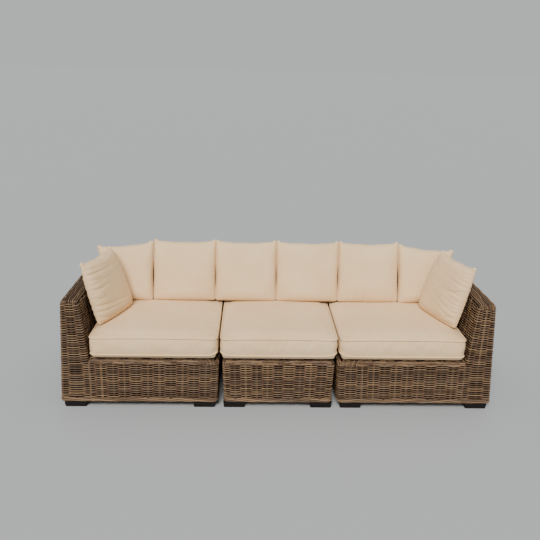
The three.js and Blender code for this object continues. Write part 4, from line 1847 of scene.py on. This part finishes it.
@dataclass
class LooseCushion:
    """A square knife-edged cushion given by its four corners, with round ears and tucks at its seam."""

    node: str
    body: str
    corners: Sequence[Sequence[float]]
    finishes: Finishes
    seed: int
    gathered: tuple[Edge, ...] = ()
    front_swell: float = 0.079
    rear_swell: float = 0.045
    side_draw: float = 0.0032
    head_draw: float = 0.024
    ear: float = 0.019
    knob: float = 0.004
    knob_radius: float = 0.0145
    seam_radius: float = 0.0015
    sink: float = 0.002
    cloth_half: float = 0.22
    bow: float = 0.0
    roundness: float = 2.7
    cells: int = 52
    soft_tucks: Tucks = Tucks(depth=0.0032, reach=0.095, width=0.048, spacing=0.21)
    strong_tucks: Tucks = Tucks(depth=0.0100, reach=0.42, width=0.032, spacing=0.135)
    filling: Filling = Filling(pressure=4.0, spare_cloth=0.004, cap=0.010)

    def __post_init__(self) -> None:
        """Works out the cushion's four ends, its two ways forward and its size."""
        self.ends = np.array(self.corners, float)
        across = (self.ends[1] - self.ends[0] + self.ends[2] - self.ends[3]) / 2
        up = (self.ends[3] - self.ends[0] + self.ends[2] - self.ends[1]) / 2
        front = np.cross(across, up)
        self.front = front / np.linalg.norm(front)
        level = np.array([front[0], front[1], 0.0])
        self.level = level / np.linalg.norm(level)
        self.half = np.array([np.linalg.norm(across), np.linalg.norm(up)]) / 2

    def build(self) -> None:
        """Builds the cushion and its seam."""
        obj = bag(f"{self.node}_cover", self.cells, self.cells)
        flat = read_points(obj)
        side = np.sign(flat[:, 2])
        flat[on_rim(flat), 2] = 0.0
        write_points(obj, flat * BAG_SIZE)
        write_attribute(obj, "cloth", np.column_stack([flat[:, :2] * self.cloth_half, side]))
        edit_all(
            obj,
            lambda: bpy.ops.mesh.remove_doubles(threshold=0.00005),
            lambda: bpy.ops.mesh.normals_make_consistent(inside=False),
        )
        flat = read_points(obj) / BAG_SIZE
        shaped = self._shaped(flat)
        write_points(obj, shaped)
        rim = on_rim(flat)
        fill_cover(obj, self.filling, np.where(rim, 1.0, 0.0))
        from_rim = ((1 - np.abs(flat[:, :2]).max(axis=1)) / 0.5).clip(0, 1)
        free = from_rim * ((1 + flat[:, 1]) / 0.7).clip(0, 1)
        free = free**2 * (3 - 2 * free)
        write_points(obj, shaped + (read_points(obj) - shaped) * free[:, None])
        self._tuck(obj, flat)
        self._settle(obj, flat)
        angle = np.arctan2(flat[rim, 1], flat[rim, 0])
        seam = read_points(obj)[rim][np.argsort(angle)]
        inward = self.ends.mean(axis=0) - seam
        seam += inward / np.linalg.norm(inward, axis=1)[:, None] * self.seam_radius
        obj.data.materials.append(self.finishes.cotton)
        smooth_finish(obj)
        dress(obj, self.body, [self.node])
        trim = piping(f"{self.node}_seam", [seam], self.seam_radius, self.finishes)
        dress(joined(trim, [self._knob(corner) for corner in (2, 3)]), self.body)

    def _knob(self, corner: int) -> bpy.types.Object:
        """Bunches the seam into a round knob at one corner of the head.

        Args:
            corner: The corner's number, 2 or 3.

        Returns:
            The knob.
        """
        across = self.ends[2] - self.ends[3]
        across /= np.linalg.norm(across)
        up = self.ends[corner] - self.ends[3 - corner]
        up /= np.linalg.norm(up)
        side = 1 if corner == 2 else -1
        centre = self.ends[corner] - across * side * self.knob_radius * 1.02 - up * self.knob_radius * 1.25
        bpy.ops.object.select_all(action="DESELECT")
        bpy.ops.mesh.primitive_uv_sphere_add(
            segments=20, ring_count=12, radius=self.knob_radius, location=[float(value) for value in centre]
        )
        knob = bpy.context.view_layer.objects.active
        bpy.ops.object.transform_apply(location=True, rotation=False, scale=False)
        bpy.ops.object.shade_smooth()
        write_attribute(knob, "cloth", read_points(knob))
        knob.data.materials.append(self.finishes.cotton)
        return knob

    def _plan(self, flat: Numbers) -> Numbers:
        """Rounds the corners into ears and draws the edges in between them.

        Args:
            flat: The flat bag's points.

        Returns:
            Places across and up, from -1 to 1.
        """
        ear = self.ear / self.half
        over = np.maximum(np.abs(flat[:, :2]) - 1 + ear, 0.0) / ear
        both = (over > 0).all(axis=1)
        bent = over * np.sqrt(1 - 0.5 * over[:, ::-1] ** 2)
        s, t = np.where(both[:, None], np.sign(flat[:, :2]) * (1 - ear + bent * ear), flat[:, :2]).T
        across, up = flat[:, 0], flat[:, 1]
        side = self.side_draw / self.half[0] * (1 - ((up + 0.22) / 0.55) ** 2).clip(0, 1) ** 2
        if Edge.LEFT in self.gathered:
            side = side - (across < 0) * self.bow / self.half[0] * (1 - up**2)
        if Edge.RIGHT in self.gathered:
            side = side - (across > 0) * self.bow / self.half[0] * (1 - up**2)
        head = self.head_draw / self.half[1] * (0.5 * (1 - across**2) + 0.5 * (1 - across**24))
        head = head + 0.009 * np.sin(across * 8.3 + self.seed) * (1 - across**2) ** 2
        return np.column_stack([s - side * across**3, t - head * np.maximum(up, 0.0) ** 3])

    def _shaped(self, flat: Numbers) -> Numbers:
        """Gives the flat bag the cushion's own shape.

        Args:
            flat: The flat bag's points.

        Returns:
            The shaped points.
        """
        plan = self._plan(flat)
        a, b = (plan[:, 0] + 1) / 2, (plan[:, 1] + 1) / 2
        base = (
            np.outer((1 - a) * (1 - b), self.ends[0])
            + np.outer(a * (1 - b), self.ends[1])
            + np.outer(a * b, self.ends[2])
            + np.outer((1 - a) * b, self.ends[3])
        )
        s, t = flat[:, 0], flat[:, 1]
        full = np.sqrt(((1 - np.abs(s) ** self.roundness) * (1 - np.abs(t) ** self.roundness)).clip(0, 1))
        swell = full * np.where(flat[:, 2] > 0, self.front_swell, -self.rear_swell)
        upright = ((t + 1) / 2)[:, None]
        out = self.level * (1 - upright) + self.front * upright
        return base + out * swell[:, None]

    def _tuck(self, obj: bpy.types.Object, flat: Numbers) -> None:
        """Presses tucks into the cover beside its seam.

        Args:
            obj: The filled cushion.
            flat: The flat bag's points.
        """
        random = np.random.default_rng(self.seed)
        s, t = flat[:, 0], flat[:, 1]
        push = np.zeros(len(flat))
        edges = {
            Edge.FOOT: (1 + t, s),
            Edge.RIGHT: (1 - s, t),
            Edge.HEAD: (1 - t, s),
            Edge.LEFT: (1 + s, t),
        }
        for edge, (distance, along) in edges.items():
            tucks = self.strong_tucks if edge in self.gathered else self.soft_tucks
            place = -0.90
            while place < 0.90:
                slope = random.uniform(-0.3, 0.3)
                width = tucks.width * random.uniform(0.8, 1.3)
                reach = tucks.reach * random.choice([0.6, 1.0, 1.5])
                depth = tucks.depth * random.uniform(0.4, 1.0)
                beside = (along - place - slope * distance) / width
                push -= depth * np.exp(-(beside**2) - distance / reach) * (1 - np.exp(-distance * 30))
                place += tucks.spacing * random.uniform(0.6, 1.4)
        for side in (-1, 1):
            push += self._ear(random, (1 - side * s) * self.half[0], (1 - t) * self.half[1])
        write_points(obj, read_points(obj) + np.outer(push * np.sign(flat[:, 2]), self.front))

    def _ear(self, random: np.random.Generator, across: Numbers, down: Numbers) -> Numbers:
        """Bunches the cloth at one corner of the head and creases the face below it.

        Args:
            random: Where the creases' sizes are drawn from.
            across: Distances from the corner, across the cushion.
            down: Distances from the corner, down the cushion.

        Returns:
            How far to push each point out.
        """
        middle = 0.7 * self.ear
        inside = (1 - np.exp(-np.minimum(across, down) / 0.004)).clip(0, 1)
        push = self.knob * inside * np.exp(-((across - middle) ** 2 + (down - middle) ** 2) / 0.010**2)
        for lean in (0.50, 1.02):
            turn = lean + random.uniform(-0.15, 0.15)
            along = (across * math.cos(turn) + down * math.sin(turn)).clip(0, None)
            beside = (down * math.cos(turn) - across * math.sin(turn)) / 0.010
            reach = random.uniform(0.035, 0.080)
            depth = random.uniform(0.0025, 0.0055)
            push -= depth * np.exp(-(beside**2) - along / reach) * (1 - np.exp(-along / 0.012))
        return push

    def _settle(self, obj: bpy.types.Object, flat: Numbers) -> None:
        """Flattens the foot on the seat that it stands on.

        Args:
            obj: The filled cushion.
            flat: The flat bag's points.
        """
        points = read_points(obj)
        share = (flat[:, 0] + 1) / 2
        floor = self.ends[0][2] * (1 - share) + self.ends[1][2] * share - self.sink
        points[:, 2] = np.maximum(points[:, 2], floor)
        write_points(obj, points)


@dataclass
class ArmCushion(LooseCushion):
    """A cushion on an arm: squarer and fuller, its front edge bowed."""

    side_draw: float = 0.0
    bow: float = 0.008
    roundness: float = 3.4
    cells: int = 72


@dataclass
class CornerCushion(LooseCushion):
    """A cushion in a corner, with its ears bunched up."""

    knob_radius: float = 0.0185


@dataclass
class TuckedCushion(LooseCushion):
    """A cushion along the back whose foot is gathered in wide tucks."""

    cells: int = 64
    strong_tucks: Tucks = Tucks(depth=0.0120, reach=0.16, width=0.052, spacing=0.24)


# The whole sofa


@dataclass(frozen=True)
class Lean:
    """How the loose cushions lean: heights and depths of their foot and head."""

    foot_y: float = 0.172
    head_y: float = 0.299
    foot_z: float = 0.489
    head_z: float = 0.894


@dataclass(frozen=True)
class LooseCushions:
    """The eight loose cushions: one on each arm, one in each corner and four along the back."""

    finishes: Finishes
    lean: Lean = Lean()

    def _upright(self, left: float, right: float, head_left: float, head_right: float) -> list[list[float]]:
        """The corners of a cushion that leans on the back wall."""
        foot, head = [self.lean.foot_y, self.lean.foot_z], [self.lean.head_y, self.lean.head_z]
        return [[left, *foot], [right, *foot], [head_right, *head], [head_left, *head]]

    @staticmethod
    def _mirrored(corners: Sequence[Sequence[float]]) -> list[list[float]]:
        """Mirrors a cushion's corners to the right half."""
        turned = [corners[1], corners[0], corners[3], corners[2]]
        return [[-x, y, z] for x, y, z in turned]

    def build(self) -> None:
        """Builds all eight."""
        arm = [
            [-1.120, -0.290, 0.484],
            [-0.984, 0.096, 0.488],
            [-1.118, 0.128, 0.888],
            [-1.214, -0.274, 0.888],
        ]
        corner = [
            [-1.126, 0.186, 0.490],
            [-0.850, 0.158, 0.488],
            [-0.850, 0.284, 0.886],
            [-1.236, 0.244, 0.856],
        ]
        left_back = self._upright(-0.8500, -0.4208, -0.8500, -0.4208)
        middle_left = self._upright(-0.4212, -0.0008, -0.4212, -0.0008)
        middle_right = self._upright(-0.0012, 0.4262, -0.0012, 0.4352)
        right_back = self._upright(0.4258, 0.8495, 0.4348, 0.8520)
        # A cushion on an arm faces inwards, so its left edge is the one towards the front.
        plans = [
            (ArmCushion, "left_arm_cushion", "left_arm_loose", arm, (Edge.LEFT,)),
            (CornerCushion, "left_corner_cushion", "left_corner_loose", corner, ()),
            (LooseCushion, "left_back_cushion", "left_back_loose", left_back, ()),
            (LooseCushion, "middle_back_cushion_left", "middle_left_loose", middle_left, ()),
            (LooseCushion, "middle_back_cushion_right", "middle_right_loose", middle_right, ()),
            (TuckedCushion, "right_back_cushion", "right_back_loose", right_back, (Edge.FOOT,)),
            (CornerCushion, "right_corner_cushion", "right_corner_loose", self._mirrored(corner), ()),
            (ArmCushion, "right_arm_cushion", "right_arm_loose", self._mirrored(arm), (Edge.RIGHT,)),
        ]
        for seed, (kind, node, body, corners, gathered) in enumerate(plans, 40):
            kind(node, body, corners, self.finishes, seed, gathered).build()


@dataclass(frozen=True)
class Carcass:
    """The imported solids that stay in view: timber frames and block feet."""

    finishes: Finishes

    def dress(self) -> None:
        """Gives each kept solid its finish."""
        for name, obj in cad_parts.items():
            if name.endswith("_foot"):
                self._paint(obj, self.finishes.foot)
            elif name.endswith("_frame"):
                self._paint(obj, self.finishes.frame)

    @staticmethod
    def _paint(obj: bpy.types.Object, material: bpy.types.Material) -> None:
        """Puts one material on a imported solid.

        Args:
            obj: The solid.
            material: Its finish.
        """
        if obj.data.materials:
            for index in range(len(obj.data.materials)):
                obj.data.materials[index] = material
        else:
            obj.data.materials.append(material)
        log.info("%s keeps its packed solid", obj.name)


@dataclass(frozen=True)
class PhotoCamera:
    """The camera that was fitted to the photograph: place in metres, angles in degrees."""

    place: tuple[float, float, float] = (-0.1788, -4.0153, 2.0604)
    pitch: float = 17.811
    yaw: float = -1.810
    roll: float = 1.247
    lens: float = 42.79
    sensor: float = 36.0

    def build(self) -> None:
        """Makes the scene's camera."""
        pitch, yaw, roll = (math.radians(angle) for angle in (self.pitch, self.yaw, self.roll))
        right = Vector((math.cos(yaw), math.sin(yaw), 0.0))
        level, drop = math.cos(pitch), math.sin(pitch)
        ahead = Vector((-math.sin(yaw) * level, math.cos(yaw) * level, -drop))
        up = Vector((-math.sin(yaw) * drop, math.cos(yaw) * drop, level))
        camera_right = right * math.cos(roll) + up * math.sin(roll)
        camera_up = up * math.cos(roll) - right * math.sin(roll)
        data = bpy.data.cameras.new("photo_camera")
        data.lens = self.lens
        data.sensor_width = self.sensor
        data.dof.use_dof = False
        camera = bpy.data.objects.new("photo_camera", data)
        axes = Matrix((camera_right, camera_up, -ahead)).transposed()
        camera.matrix_world = Matrix.Translation(self.place) @ axes.to_4x4()
        bpy.context.scene.collection.objects.link(camera)
        bpy.context.scene.camera = camera


@dataclass(frozen=True)
class SoftSun:
    """A broad, far light: which way it comes from, how strong and how soft it is."""

    name: str
    place: tuple[float, float, float]
    strength: float
    softness: float
    colour: Colour

    def build(self) -> None:
        """Makes the light, which shines from its place towards the sofa."""
        data = bpy.data.lights.new(self.name, "SUN")
        data.energy = self.strength
        data.angle = math.radians(self.softness)
        data.color = self.colour
        light = bpy.data.objects.new(self.name, data)
        light.location = self.place
        light.rotation_euler = (-Vector(self.place)).to_track_quat("-Z", "Y").to_euler()
        bpy.context.scene.collection.objects.link(light)


@dataclass(frozen=True)
class Studio:
    """A plain pale floor that runs out of sight, a plain pale sky and one soft sun."""

    sky: Colour = (0.96, 0.995, 1.0)
    sky_strength: float = 0.56

    def build(self) -> None:
        """Makes the floor, the light and the sky."""
        self._floor()
        SoftSun(
            name="key",
            place=(-0.9, -4.2, 4.4),
            strength=4.2,
            softness=26.0,
            colour=(1.0, 0.95, 0.88),
        ).build()
        world = bpy.data.worlds.new("studio_sky")
        world.use_nodes = True
        background = world.node_tree.nodes["Background"]
        background.inputs["Color"].default_value = (*self.sky, 1.0)
        background.inputs["Strength"].default_value = self.sky_strength
        bpy.context.scene.world = world

    @staticmethod
    def _floor() -> None:
        """Makes the floor."""
        bpy.ops.object.select_all(action="DESELECT")
        bpy.ops.mesh.primitive_plane_add(size=400, location=(0, 0, 0))
        floor = bpy.context.view_layer.objects.active
        floor.name = "studio_floor"
        floor.data.materials.append(FloorFinish().material())


def write_sizes() -> None:
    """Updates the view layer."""
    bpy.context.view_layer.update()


def main() -> None:
    """Builds the sofa, piece by piece."""
    PhotoCamera().build()
    finishes = Finishes()
    Carcass(finishes).dress()
    CornerSeat(Side.LEFT, finishes).build()
    MiddleSeat(Side.MIDDLE, finishes).build()
    CornerSeat(Side.RIGHT, finishes).build()
    for side in Side:
        SeatCushion(side, finishes).build()
    LooseCushions(finishes).build()
    Studio().build()
    write_sizes()


if __name__ == "__main__":
    main()
